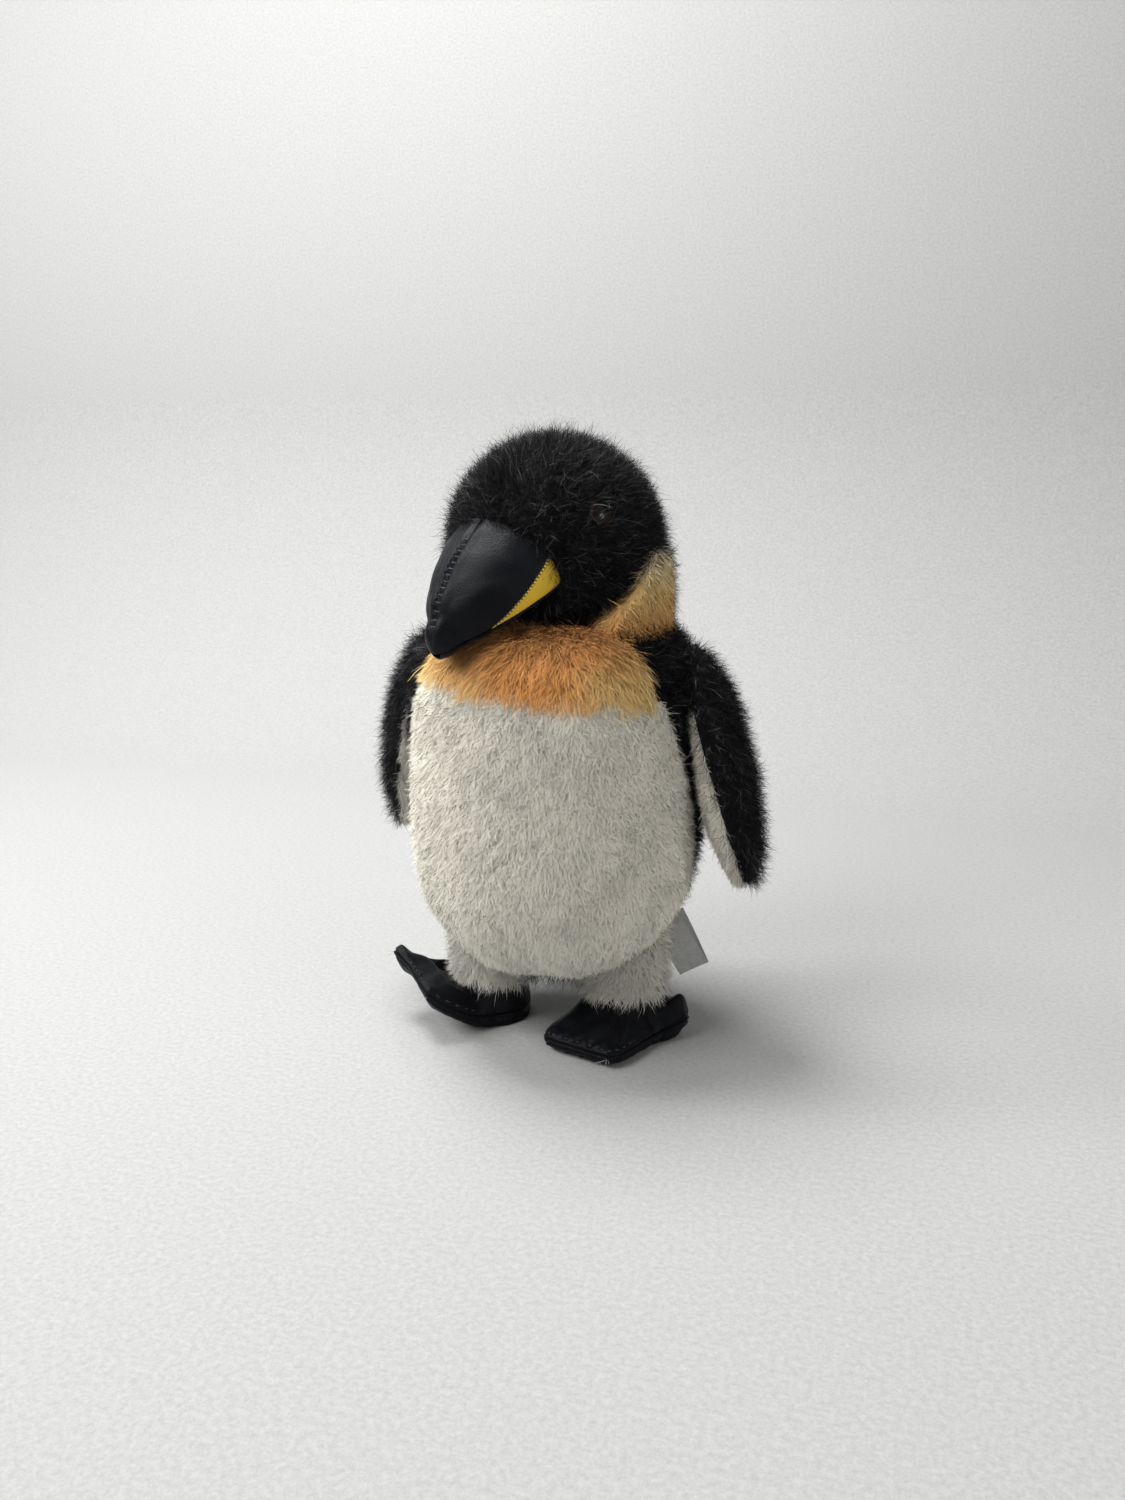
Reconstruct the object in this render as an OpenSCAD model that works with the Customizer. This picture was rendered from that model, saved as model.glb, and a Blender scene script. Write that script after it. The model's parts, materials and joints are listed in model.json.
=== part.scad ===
// Plush penguin: a sewn skin of fabric panels over loose filling, with a swivelling head,
// flippers, feet and tail that flex at their seams, and a folded care label.
// Axes: +Z up, the body faces -Y, the penguin's own left is +X. Millimetres.

/* [Body] */
// Height of the middle of the head above the floor
head_centre_z = 236; // [234:1:238]
// Widest radius of the body skin
body_r = 65.5; // [64.5:0.5:66.5]
// Height of the bottom of the body above the floor
belly_bottom_z = 37; // [36:1:38]
// Height of the seam between the white belly and the orange bib, at its middle
bib_seam_z = 175; // [172:1:178]
// Radius of the neck collar that cups the head
collar_r = 50.5; // [50:0.1:51]
// Thickness of the plush fabric backing
cloth_t = 1.6; // [1.2:0.1:2]

/* [Head] */
// Radius of the head skin
head_r = 46; // [45:0.5:46]
// How far the head is turned to the penguin's right, in degrees
head_turn = 28; // [20:1:32]
// How far the face looks down, in degrees
head_nod = 25; // [20:1:26]
// Radius of the glossy eye dome
eye_r = 5.5; // [5:0.25:6]

/* [Beak] */
// Distance from the middle of the head to the tip of the beak
beak_reach = 85; // [82:1:87]
// Half the width of the beak at its base
beak_half_w = 34; // [32:0.5:35]
// Height of the beak above the mouth line at its base
beak_rise = 29.5; // [28:0.5:30]
// Thickness of the leatherette
vinyl_t = 1.2; // [1:0.1:1.4]
// Width in degrees of the yellow strip at the mouth corner
strip_angle = 24; // [20:1:28]

/* [Flippers] */
// Length of a flipper from its shoulder seam to its tip
flipper_length = 114; // [110:1:118]
// Half the width of a flipper from front edge to back edge
flipper_half_w = 22; // [20:0.5:23]
// How far each flipper hangs away from the body, in degrees
flipper_hang = 15; // [15:1:20]
// How far the right flipper swings back, in degrees
flipper_swing = 20; // [0:1:22]

/* [Legs and feet] */
// Distance from the middle plane to the middle of each leg
leg_x = 33; // [32:0.5:34]
// Radius of the plush leg cuff
cuff_r = 18.5; // [18:0.5:19]
// Length from the ankle to the middle toe
toe_length = 47; // [45:1:50]
// How far the right foot points outwards, in degrees
right_foot_turn = 66; // [60:1:74]
// How far the toes of the right foot curl up, in degrees
right_toe_lift = 35; // [20:1:36]

/* [Hidden] */
$fn = 96;

black = "#15161a";
white = "#d9d6ca";
orange = "#d9924a";
yellow = "#c9a322";
vinyl = "#1b1c20";
filling = "#efece4";
big = 400;
gap = 0.4;              // room between bodies that move against each other
seam = 0.15;            // room between two panels sewn edge to edge
centre_shift = [0, -7, 0];  // from the body's axis to the middle of the whole outline
head_centre = [0, 0, head_centre_z];
seat_r = head_r + gap;

// ---------- Curves and sheets ----------

function blend(a, b, t) = a + (b - a) * t;

// A smooth curve through the stations, with n steps between each pair of them
function smooth(stations, n) = let (last = len(stations) - 1) [
    for (i = [0 : last - 1]) for (k = [0 : n - (i == last - 1 ? 0 : 1)])
        let (a = stations[max(i - 1, 0)], b = stations[i], c = stations[i + 1],
             d = stations[min(i + 2, last)], t = k / n)
        0.5 * (2 * b + (c - a) * t + (2 * a - 5 * b + 4 * c - d) * t * t
               + (3 * b - a - 3 * c + d) * t * t * t)];

// The same outline moved inwards by d, along its own normals
function inset(points, d) = let (last = len(points) - 1) [
    for (i = [0 : last])
        let (step = points[min(i + 1, last)] - points[max(i - 1, 0)], n = norm(step))
        [max(points[i].x - d * step.y / n, 0), points[i].y + d * step.x / n]];

function reversed(points) = [for (i = [len(points) - 1 : -1 : 0]) points[i]];
function flat(rows) = [for (row = rows) each row];
function two_triangles(a, b, c, d) = [[a, b, c], [a, c, d]];

// A closed sheet between two grids of points, outer and inner; around joins its two sides
module sheet(outer, inner, around = false) {
    rows = len(outer);
    cols = len(outer[0]);
    last = around ? cols - 1 : cols - 2;
    function at(side, i, j) = side * rows * cols + i * cols + j % cols;
    ends = [for (j = [0 : last]) each concat(
        two_triangles(at(0, 0, j), at(0, 0, j + 1), at(1, 0, j + 1), at(1, 0, j)),
        two_triangles(at(0, rows - 1, j), at(1, rows - 1, j),
                      at(1, rows - 1, j + 1), at(0, rows - 1, j + 1)))];
    sides = around ? [] : [for (i = [0 : rows - 2]) each concat(
        two_triangles(at(0, i, 0), at(1, i, 0), at(1, i + 1, 0), at(0, i + 1, 0)),
        two_triangles(at(0, i, cols - 1), at(0, i + 1, cols - 1),
                      at(1, i + 1, cols - 1), at(1, i, cols - 1)))];
    faces = [for (i = [0 : rows - 2]) for (j = [0 : last]) each concat(
        two_triangles(at(0, i, j), at(0, i + 1, j), at(0, i + 1, j + 1), at(0, i, j + 1)),
        two_triangles(at(1, i, j), at(1, i, j + 1), at(1, i + 1, j + 1), at(1, i + 1, j)))];
    polyhedron(concat(flat(outer), flat(inner)), concat(faces, ends, sides));
}

// A closed solid through rings of points, with flat ends
module lofted(rings) {
    rows = len(rings);
    cols = len(rings[0]);
    function at(i, j) = i * cols + j % cols;
    faces = [for (i = [0 : rows - 2]) for (j = [0 : cols - 1])
        each two_triangles(at(i, j), at(i + 1, j), at(i + 1, j + 1), at(i, j + 1))];
    first = [for (j = [1 : cols - 2]) [at(0, 0), at(0, j), at(0, j + 1)]];
    final = [for (j = [1 : cols - 2]) [at(rows - 1, 0), at(rows - 1, j + 1), at(rows - 1, j)]];
    polyhedron(flat(rings), concat(faces, first, final));
}

module box(low, high) {
    translate(low) cube(high - low);
}

// ---------- Body ----------

dome_top_z = head_centre_z - 30;
body_outline = smooth([
    [0, belly_bottom_z], [22, belly_bottom_z + 1.5], [41, belly_bottom_z + 9],
    [54, belly_bottom_z + 22], [body_r - 3, belly_bottom_z + 38], [body_r, belly_bottom_z + 60],
    [body_r, belly_bottom_z + 88], [body_r - 0.5, dome_top_z - 54],
    [body_r - 1.5, dome_top_z - 38], [body_r - 4, dome_top_z - 25],
    [body_r - 8.5, dome_top_z - 15], [body_r - 17, dome_top_z - 6.5], [30, dome_top_z]], 3);
collar_outline = smooth([
    [collar_r - 0.5, dome_top_z - 13], [collar_r, dome_top_z + 2],
    [collar_r, head_centre_z - 14], [collar_r - 1.6, head_centre_z - 1]], 3);

// A solid of the outline moved inwards by d
module turned(outline, d) {
    inner = inset(outline, d);
    top = inner[len(inner) - 1];
    rotate_extrude() polygon(concat([[0, inner[0].y]], inner, [[0, top.y]]));
}

module body_solid(d = 0) {
    turned(body_outline, d);
}

module body_skin() {
    difference() {
        rotate_extrude() polygon(concat(body_outline, reversed(inset(body_outline, cloth_t))));
        translate(head_centre) sphere(r = seat_r);
    }
}

// The front of the body: the side seams lean, and stand up again beside the bib
seam_lean = 0.45;       // how far the side seam moves forward for each unit of height
seam_cross_z = 98;      // height at which the side seam crosses the middle of the side
bib_edge_y = -seam_lean * (bib_seam_z - seam_cross_z);
bib_seam_tilt = 5;      // the bib's lower seam runs lower on the penguin's left

module front_of_side_seams(room) {
    low_y = seam_lean * seam_cross_z;
    translate([-big / 2, 0, 0]) rotate([90, 0, 90]) linear_extrude(big)
        polygon([[low_y - room, 0], [bib_edge_y - room, bib_seam_z],
                 [bib_edge_y - room, big], [-big, big], [-big, 0]]);
}

module base_oval(room) {
    translate([0, 12, 0]) cylinder(r = 26 + room, h = belly_bottom_z + 12);
}

module below_bib(room) {
    translate([0, 0, bib_seam_z]) rotate([0, bib_seam_tilt, 0])
        box([-big, -big, -big], [big, big, -room]);
}

module belly_panel() color(white) {
    difference() {
        intersection() {
            body_skin();
            front_of_side_seams(seam);
            below_bib(seam);
        }
        base_oval(seam);
    }
}

module bib_panel() color(orange) {
    difference() {
        intersection() {
            body_skin();
            front_of_side_seams(seam);
        }
        below_bib(-seam);
    }
}

module back_panel(side) color(black) {
    difference() {
        body_skin();
        front_of_side_seams(0);
        base_oval(seam);
        mirror([side > 0 ? 0 : 1, 0, 0]) box([-big, -big, 0], [seam, big, big]);
    }
}

module base_panel() color(black) {
    intersection() {
        body_skin();
        base_oval(0);
    }
}

// The collar cups the back and sides of the head and turns with it. Its rim is cut by a
// plane that leans back, so it rises from nothing under the chin to full height at the nape.
rim_lean = 44.5;
rim_anchor = [0, -11.6, dome_top_z + 2];
patch_back_y = 28;

module with_head_turn() {
    rotate([0, 0, -head_turn]) children();
}

module collar_wall(outer_d, inner_d) {
    difference() {
        turned(collar_outline, outer_d);
        if (inner_d > 0) turned(collar_outline, inner_d);
        body_solid(-gap);
        translate(head_centre) sphere(r = seat_r);
        with_head_turn() translate(rim_anchor) rotate([rim_lean, 0, 0])
            box([-big, -big, 0], [big, big, big]);
    }
}

module neck_patch(side) color(orange) {
    intersection() {
        collar_wall(0, cloth_t);
        with_head_turn() mirror([side > 0 ? 0 : 1, 0, 0])
            box([0, -big, 0], [big, patch_back_y - seam, big]);
    }
}

module nape_panel() color(black) {
    intersection() {
        collar_wall(0, cloth_t);
        with_head_turn() box([-big, patch_back_y, 0], [big, big, big]);
    }
}

module neck_roll() color(filling) {
    collar_wall(cloth_t + seam, 0);
}

// ---------- Filling and pellets ----------

plug_ball_r = 16.2;
plug_stem_r = 11;
plug_foot_z = 150;
bag_top_z = 78;
bag_inset = 9;
bag_t = 0.8;

module bag_solid(d) {
    intersection() {
        body_solid(bag_inset + d);
        box([-big, -big, 0], [big, big, bag_top_z - d]);
    }
}

module body_stuffing() color(filling) {
    difference() {
        body_solid(cloth_t + seam);
        bag_solid(-0.3);
        translate(head_centre) sphere(r = seat_r);
        translate([0, 0, plug_foot_z - gap]) cylinder(r = plug_stem_r + gap, h = 100);
    }
}

module pellet_bag() color("#e6e2d6") {
    difference() {
        bag_solid(0);
        bag_solid(bag_t);
    }
}

module pellets() color("#f2f0ea") {
    for (ring = [0 : 3]) for (i = [0 : 5 + 6 * ring]) for (layer = [0 : 1]) {
        angle = 360 * i / (6 + 6 * ring) + 15 * layer;
        translate([(6 + 7 * ring) * cos(angle), (6 + 7 * ring) * sin(angle), 62 + 7 * layer])
            sphere(r = 2.2, $fn = 16);
    }
}

module closing_stitches() color(black) {
    for (i = [0 : 11]) {
        z = 92 + 5 * i;
        y = lookup(z, [for (p = body_outline) if (p.y > 60 && p.y < 190) [p.y, p.x]]);
        translate([-1.6, y + 0.7, z]) rotate([0, 90, 0]) cylinder(r = 0.35, h = 3.2, $fn = 24);
    }
}

module neck_plug() color(filling) {
    translate(head_centre) sphere(r = plug_ball_r);
    translate([0, 0, plug_foot_z]) cylinder(r = plug_stem_r, h = head_centre_z - plug_foot_z);
}

// ---------- Legs ----------

leg_y = 3;
ankle_z = 24;

module leg_place(side) {
    translate([side * leg_x, leg_y, 0]) children();
}

module leg_cuff(side) color(white) {
    difference() {
        leg_place(side) translate([0, 0, ankle_z]) difference() {
            cylinder(r = cuff_r, h = 40);
            translate([0, 0, -1]) cylinder(r = cuff_r - cloth_t, h = 42);
        }
        body_solid(-0.2);
    }
}

module leg_stuffing(side) color(filling) {
    difference() {
        leg_place(side) translate([0, 0, ankle_z])
            cylinder(r = cuff_r - cloth_t - seam, h = 40);
        body_solid(-0.2);
    }
}

// ---------- Head ----------

module head_place() {
    translate(head_centre) rotate([0, 0, -head_turn]) rotate([head_nod, 0, 0]) children();
}

// The neck opening runs from front to back, wide enough for the plug's stem at every nod
opening_front_angle = -7;
opening_back_angle = 26;

module neck_opening() {
    translate(head_centre) rotate([0, 0, -head_turn]) hull() {
        for (angle = [opening_front_angle, opening_back_angle])
            rotate([angle, 0, 0]) mirror([0, 0, 1]) cylinder(r = plug_stem_r + gap, h = 60);
    }
}

eye_azimuth = 80;
eye_height_angle = 26;

module eye_place(side) {
    head_place() rotate([0, 0, side * eye_azimuth - 90]) rotate([0, 90 - eye_height_angle, 0])
        children();
}

eye_hole_r = 2;
gusset_half_w = 14;
chin_half_w = 18;
chin_top_z = 2;
chin_back_y = -4;

module head_shell() {
    difference() {
        translate(head_centre) sphere(r = head_r);
        translate(head_centre) sphere(r = head_r - cloth_t);
        neck_opening();
        beak_place() rotate([90, 0, 0]) linear_extrude(80)
            polygon([for (v = [0 : 10 : 180])
                [(beak_half_w - 5) * cos(v), mouth_h + (beak_rise - 5) * sin(v)]]);
        for (side = [-1, 1]) eye_place(side) cylinder(r = eye_hole_r, h = 60);
    }
}

module gusset_zone(room) {
    head_place() difference() {
        box([-gusset_half_w - room, -big, -big], [gusset_half_w + room, big, big]);
        box([-big, -big, -big], [big, chin_back_y + room, chin_top_z - room]);
    }
}

module chin_zone(room) {
    head_place() box([-chin_half_w - room, -big, -big],
                     [chin_half_w + room, chin_back_y - seam + room, chin_top_z - seam + room]);
}

module head_gusset() color(black) {
    intersection() {
        head_shell();
        gusset_zone(0);
    }
}

module chin_panel() color(black) {
    intersection() {
        head_shell();
        chin_zone(0);
    }
}

module head_side(side) color(black) {
    difference() {
        head_shell();
        gusset_zone(seam);
        chin_zone(seam);
        head_place() mirror([side > 0 ? 0 : 1, 0, 0]) box([-big, -big, -big], [0, big, big]);
    }
}

washer_r = 6;
washer_t = 1.2;
washer_depth = 2.4;
stem_r = 1.6;
stem_length = 13;

module head_stuffing() color(filling) {
    washer_low = head_r - washer_depth - washer_t;
    difference() {
        translate(head_centre) sphere(r = head_r - cloth_t - seam);
        translate(head_centre) sphere(r = plug_ball_r + gap);
        neck_opening();
        for (side = [-1, 1]) eye_place(side) {
            translate([0, 0, head_r - stem_length - 1]) cylinder(r = eye_hole_r, h = 30);
            translate([0, 0, washer_low - 0.4]) cylinder(r = washer_r + 0.4, h = 30);
        }
    }
}

// Safety eye: a dome and a flange outside the skin, on a stem that holds the washer inside
module eye(side) color("#120d0a") {
    eye_place(side) {
        translate([0, 0, head_r + 0.1]) rotate_extrude()
            polygon([for (a = [0 : 10 : 90]) [eye_r * cos(a), 4.2 * sin(a)], [0, 0]]);
        translate([0, 0, head_r - stem_length]) cylinder(r = stem_r, h = stem_length + 1);
    }
}

module eye_washers() color("#d8d6d0") {
    for (side = [-1, 1]) eye_place(side)
        translate([0, 0, head_r - washer_depth - washer_t]) difference() {
            cylinder(r = washer_r, h = washer_t);
            translate([0, 0, -1]) cylinder(r = stem_r + 0.1, h = 4);
        }
}

// ---------- Beak ----------

// In the beak's own frame -Y runs from the head to the tip along the mouth line
mouth_droop = 9.6;
mouth_h = 7;
beak_root = 28;
beak_sphere_r = head_r + 0.7;
beak_rows = 9;
strip_end = 0.64;       // share of the beak's length that the yellow strip covers

module beak_place() {
    head_place() rotate([mouth_droop, 0, 0]) children();
}

function beak_share(s) = min(max((s - beak_root) / (beak_reach - beak_root), 0), 1);
function beak_w(s, d) = max((beak_half_w - d) * pow(1 - pow(beak_share(s), 1.5), 0.78), 0.4);
function beak_h(s, d) = max((beak_rise - d) * pow(1 - pow(beak_share(s), 1.7), 0.62), 0.4);

// A point of the upper beak: s along it, v around it from the left mouth line to the right one
function upper_point(s, v, d) = [beak_w(s, d) * cos(v), -s, mouth_h + beak_h(s, d) * sin(v)];
function lower_point(s, v, d) = [beak_w(s, 0.3) * cos(v), -s, mouth_h - d - 2.4 * sin(v)];
// Where a line along the beak leaves the head
function upper_start(s, v) = let (p = upper_point(s, v, vinyl_t))
    sqrt(pow(beak_sphere_r, 2) - p.x * p.x - p.z * p.z);
function lower_start(s, v) = let (p = lower_point(s, v, 1.4))
    sqrt(pow(beak_sphere_r, 2) - p.x * p.x - p.z * p.z);
function upper_row_s(u, v) = blend(upper_start(upper_start(30, v), v), beak_reach - 1, u);
function lower_row_s(u, v) = blend(lower_start(lower_start(38, v), v), beak_reach - 1, u);

// Edge of the yellow strip, in degrees up from the mouth line
function strip_edge(u) = strip_angle * max(1 - u / strip_end, 0);

function beak_grid(side, d) = [for (i = [0 : beak_rows]) let (u = i / beak_rows) [
    for (j = [0 : 6]) let (low = strip_edge(u) + 0.3, v = blend(low, 89.6, j / 6))
        let (p = upper_point(upper_row_s(u, v), v, d)) [side * p.x, p.y, p.z]]];

function strip_grid(side, d) = [for (i = [0 : 6]) let (u = 0.97 * strip_end * i / 6) [
    for (j = [0 : 2]) let (v = blend(0, strip_edge(u) - 0.3, j / 2))
        let (p = upper_point(upper_row_s(u, v), v, d)) [side * p.x, p.y, p.z]]];

module handed(side, outer, inner) {
    if (side > 0) sheet(outer, inner);
    else sheet(inner, outer);
}

module beak_upper(side) color(vinyl) {
    beak_place() handed(side, beak_grid(side, 0), beak_grid(side, vinyl_t));
}

module beak_strip(side) color(yellow) {
    beak_place() handed(side, strip_grid(side, 0), strip_grid(side, vinyl_t));
}

function jaw_grid(d) = [for (i = [0 : beak_rows]) let (u = i / beak_rows) [
    for (j = [0 : 8]) let (v = 180 * j / 8) lower_point(lower_row_s(u, v), v, d)]];

module lower_jaw() color(vinyl) {
    beak_place() sheet(jaw_grid(0.2), jaw_grid(1.4));
}

module beak_stuffing() color(filling) {
    d = vinyl_t + 0.7;
    difference() {
        beak_place() lofted([for (s = [30 : 5 : beak_reach - 8]) concat(
            [for (v = [0 : 20 : 180]) upper_point(s, v, d) + [0, 0, 0.2]])]);
        translate(head_centre) sphere(r = beak_sphere_r);
    }
}

module ridge_stitches() color(black) {
    for (s = [36 : 2.8 : beak_reach - 8]) {
        rise = atan2(beak_h(s + 1, 0) - beak_h(s - 1, 0), 2);
        beak_place() translate([0, -s, mouth_h + beak_h(s, 0) + 0.75])
            rotate([90 - rise, 0, 0]) cylinder(r = 0.35, h = 1.7, center = true, $fn = 24);
    }
}

// ---------- Flippers ----------

shoulder_x = 63;
shoulder_z = 193;
flipper_rows = 9;

module flipper_place(side) {
    translate([side * shoulder_x, 0, shoulder_z])
        rotate([side > 0 ? 0 : flipper_swing, 0, 0]) rotate([0, -side * flipper_hang, 0])
            children();
}

// Half the width and the two half thicknesses of a flipper at a share t of its length
function flipper_w(t) = flipper_half_w * pow(sin(blend(24, 176, pow(t, 0.9))), 0.5);
function flipper_out(t) = 13 * pow(sin(blend(12, 174, t)), 0.55);
function flipper_in(t) = min(2.5 + 13 * t, 11.5) * pow(sin(blend(20, 174, t)), 0.5);

function flipper_grid(side, face, d) = [for (i = [0 : flipper_rows])
    let (t = i / flipper_rows, h = (face > 0 ? flipper_out(t) : flipper_in(t)) - d,
         w = flipper_w(t) - 0.7 * d)
    [for (j = [0 : 8]) let (v = 180 * j / 8)
        [side * face * max(h, 0.3) * sin(v) + side * face * seam, w * cos(v),
         -3 - (flipper_length - 3 - d) * t]]];

module flipper_sheet(side, face) {
    flipper_place(side) {
        if (side * face > 0) sheet(flipper_grid(side, face, 0), flipper_grid(side, face, cloth_t));
        else sheet(flipper_grid(side, face, cloth_t), flipper_grid(side, face, 0));
    }
}

module flipper_outer(side) color(black) flipper_sheet(side, 1);

module flipper_inner(side) color(white) flipper_sheet(side, -1);

module flipper_stuffing(side) color(filling) {
    d = cloth_t + 0.35;
    flipper_place(side) lofted([for (i = [1 : flipper_rows - 1])
        let (t = i / flipper_rows, w = flipper_w(t) - d)
        [for (j = [0 : 15]) let (v = 22.5 * j,
            h = (side * sin(v) > 0 ? flipper_out(t) : flipper_in(t)) - d)
            [max(h, 0.3) * sin(v), w * cos(v), -3 - (flipper_length - 6) * t]]]);
}

// ---------- Feet ----------

heel_r = 18;
toes = [[-39, toe_length - 1], [5, toe_length], [90, toe_length - 16]];
fold_at = 10;           // the toes curl up from this distance in front of the ankle
sole_t = 1.6;
foot_columns = 36;
foot_shares = [0, 0.12, 0.25, 0.4, 0.6, 0.8, 0.92, 1];

module foot_place(side) {
    translate([side * leg_x, leg_y, 0]) rotate([0, 0, side > 0 ? 0 : -right_foot_turn])
        children();
}

// Distance from the ankle to the edge of the foot; angle 0 points forward, outwards is positive
function foot_reach(angle) = heel_r + (abs(angle) > 150 ? 0 : 1) *
    ([for (toe = toes) (toe[1] - heel_r) * exp(-pow((angle - toe[0]) / 23, 2))] * [1, 1, 1]);

function toe_curl(side, forward) =
    max(forward - fold_at, 0) * tan(side > 0 ? 0 : right_toe_lift);

// A point of the foot: share 0 is at the ankle, share 1 at the rim of the sole
function foot_point(side, angle, share, d) =
    let (r = blend(cuff_r - 1.5, foot_reach(angle), share) - d,
         z = 1.9 + (ankle_z - 2.4) * pow(1 - share, 1.4) + 8 * sin(180 * pow(share, 1.6)) - d,
         forward = r * cos(angle))
    [side * r * sin(angle), -forward,
     max(z, 1.9) + toe_curl(side, forward) * min(pow(2 * share, 1.5), 1)];

function foot_grid(side, d) = [for (share = foot_shares) [
    for (j = [0 : foot_columns - 1])
        foot_point(side, -180 + 360 * j / foot_columns, share, d)]];

module foot_upper(side) color(vinyl) {
    foot_place(side) {
        if (side > 0) sheet(foot_grid(side, vinyl_t), foot_grid(side, 0), true);
        else sheet(foot_grid(side, 0), foot_grid(side, vinyl_t), true);
    }
}

module sole_outline(side) {
    polygon([for (j = [0 : foot_columns - 1])
        let (angle = -180 + 360 * j / foot_columns, r = foot_reach(angle))
        [side * r * sin(angle), -r * cos(angle)]]);
}

// The heel part lies flat on the floor; the toe part rises from the fold
module sole(side) color(vinyl) {
    toes_y = -100;
    toes_z = toe_curl(side, -toes_y);
    foot_place(side) intersection() {
        linear_extrude(100) sole_outline(side);
        translate([-big / 2, 0, 0]) rotate([90, 0, 90]) linear_extrude(big)
            polygon([[big, 0], [big, sole_t], [-fold_at, sole_t], [toes_y, toes_z + sole_t],
                     [toes_y, toes_z], [-fold_at, 0]]);
    }
}

module foot_stuffing(side) color(filling) {
    d = vinyl_t + 0.35;
    rings = [for (i = [0 : 5]) [
        for (j = [0 : foot_columns - 1])
            foot_point(side, -180 * side + 360 * side * j / foot_columns, foot_shares[i], d)]];
    floor_ring = [for (p = rings[5]) [p.x, p.y, 2.3 + toe_curl(side, -p.y)]];
    foot_place(side) lofted(reversed(concat(rings, [floor_ring])));
}

// ---------- Tail ----------

tail_root = [0, 55, 56];
tail_length = 34;
tail_droop = 42;

module tail_place() {
    translate(tail_root) rotate([-tail_droop, 0, 0]) children();
}

function tail_w(t) = 21 * pow(1 - pow(t, 2), 0.6) + 1.5;
function tail_h(t) = 6.5 * pow(1 - pow(t, 2), 0.5) + 1;

function tail_grid(face, d) = [for (i = [0 : 5]) let (t = i / 5) [
    for (j = [0 : 8]) let (v = 180 * j / 8)
        [(tail_w(t) - 0.7 * d) * cos(v), tail_length * t - (t == 1 ? d : 0),
         face * (max(tail_h(t) - d, 0.2) * sin(v) + seam)]]];

module tail_upper() color(black) {
    tail_place() sheet(tail_grid(1, cloth_t), tail_grid(1, 0));
}

module tail_lower() color(black) {
    tail_place() sheet(tail_grid(-1, 0), tail_grid(-1, cloth_t));
}

module tail_stuffing() color(filling) {
    d = cloth_t + 0.35;
    tail_place() lofted([for (i = [0 : 4]) let (t = i / 5) [
        for (j = [0 : 15]) let (v = -22.5 * j)
            [(tail_w(t) - d) * cos(v), tail_length * t, max(tail_h(t) - d, 0.2) * sin(v)]]]);
}

// ---------- Care label ----------

label_w = 16;
label_length = 32;
label_root = [50.2, 20.2, 54];
label_angles = [101.5, 60, 18.4];
label_leaf_t = 0.35;

module label_place() {
    translate(label_root) rotate(label_angles) children();
}

// One ribbon folded in half: two leaves joined at the fold
module care_label() color("#e9e8e4") {
    label_place() {
        for (z = [0, 0.6]) translate([0, -label_w / 2, z]) cube([label_length, label_w, label_leaf_t]);
        translate([label_length - 0.01, -label_w / 2, 0])
            cube([0.6, label_w, 0.6 + label_leaf_t]);
    }
}

// ---------- Nodes ----------

module placed() {
    translate(centre_shift) children();
}

placed() belly_panel();
placed() bib_panel();
placed() back_panel(1);  // back_panel_left
placed() back_panel(-1);  // back_panel_right
placed() base_panel();
placed() neck_patch(1);  // neck_patch_left
placed() neck_patch(-1);  // neck_patch_right
placed() nape_panel();
placed() neck_roll();
placed() body_stuffing();
placed() pellet_bag();
placed() pellets();
placed() closing_stitches();
placed() leg_cuff(1);  // leg_cuff_left
placed() leg_cuff(-1);  // leg_cuff_right
placed() leg_stuffing(1);  // leg_stuffing_left
placed() leg_stuffing(-1);  // leg_stuffing_right
placed() neck_plug();
placed() head_gusset();
placed() head_side(1);  // head_side_left
placed() head_side(-1);  // head_side_right
placed() chin_panel();
placed() head_stuffing();
placed() beak_upper(1);  // beak_upper_left
placed() beak_upper(-1);  // beak_upper_right
placed() beak_strip(1);  // beak_strip_left
placed() beak_strip(-1);  // beak_strip_right
placed() lower_jaw();
placed() beak_stuffing();
placed() ridge_stitches();
placed() eye(1);  // eye_left
placed() eye(-1);  // eye_right
placed() eye_washers();
placed() flipper_outer(1);  // flipper_outer_left
placed() flipper_inner(1);  // flipper_inner_left
placed() flipper_stuffing(1);  // flipper_stuffing_left
placed() flipper_outer(-1);  // flipper_outer_right
placed() flipper_inner(-1);  // flipper_inner_right
placed() flipper_stuffing(-1);  // flipper_stuffing_right
placed() foot_upper(1);  // foot_upper_left
placed() sole(1);  // sole_left
placed() foot_stuffing(1);  // foot_stuffing_left
placed() foot_upper(-1);  // foot_upper_right
placed() sole(-1);  // sole_right
placed() foot_stuffing(-1);  // foot_stuffing_right
placed() tail_upper();
placed() tail_lower();
placed() tail_stuffing();
placed() care_label();
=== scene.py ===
"""Looks of the plush penguin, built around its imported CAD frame.

Every plush panel is a skin wrapped from its CAD panel, with real pile strands on it.
The beak and the feet are leatherette, and the care label is a folded ribbon.
"""
import json
import math
from collections import namedtuple
from functools import partial

import bpy
import numpy as np
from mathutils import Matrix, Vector
from mathutils.bvhtree import BVHTree


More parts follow.
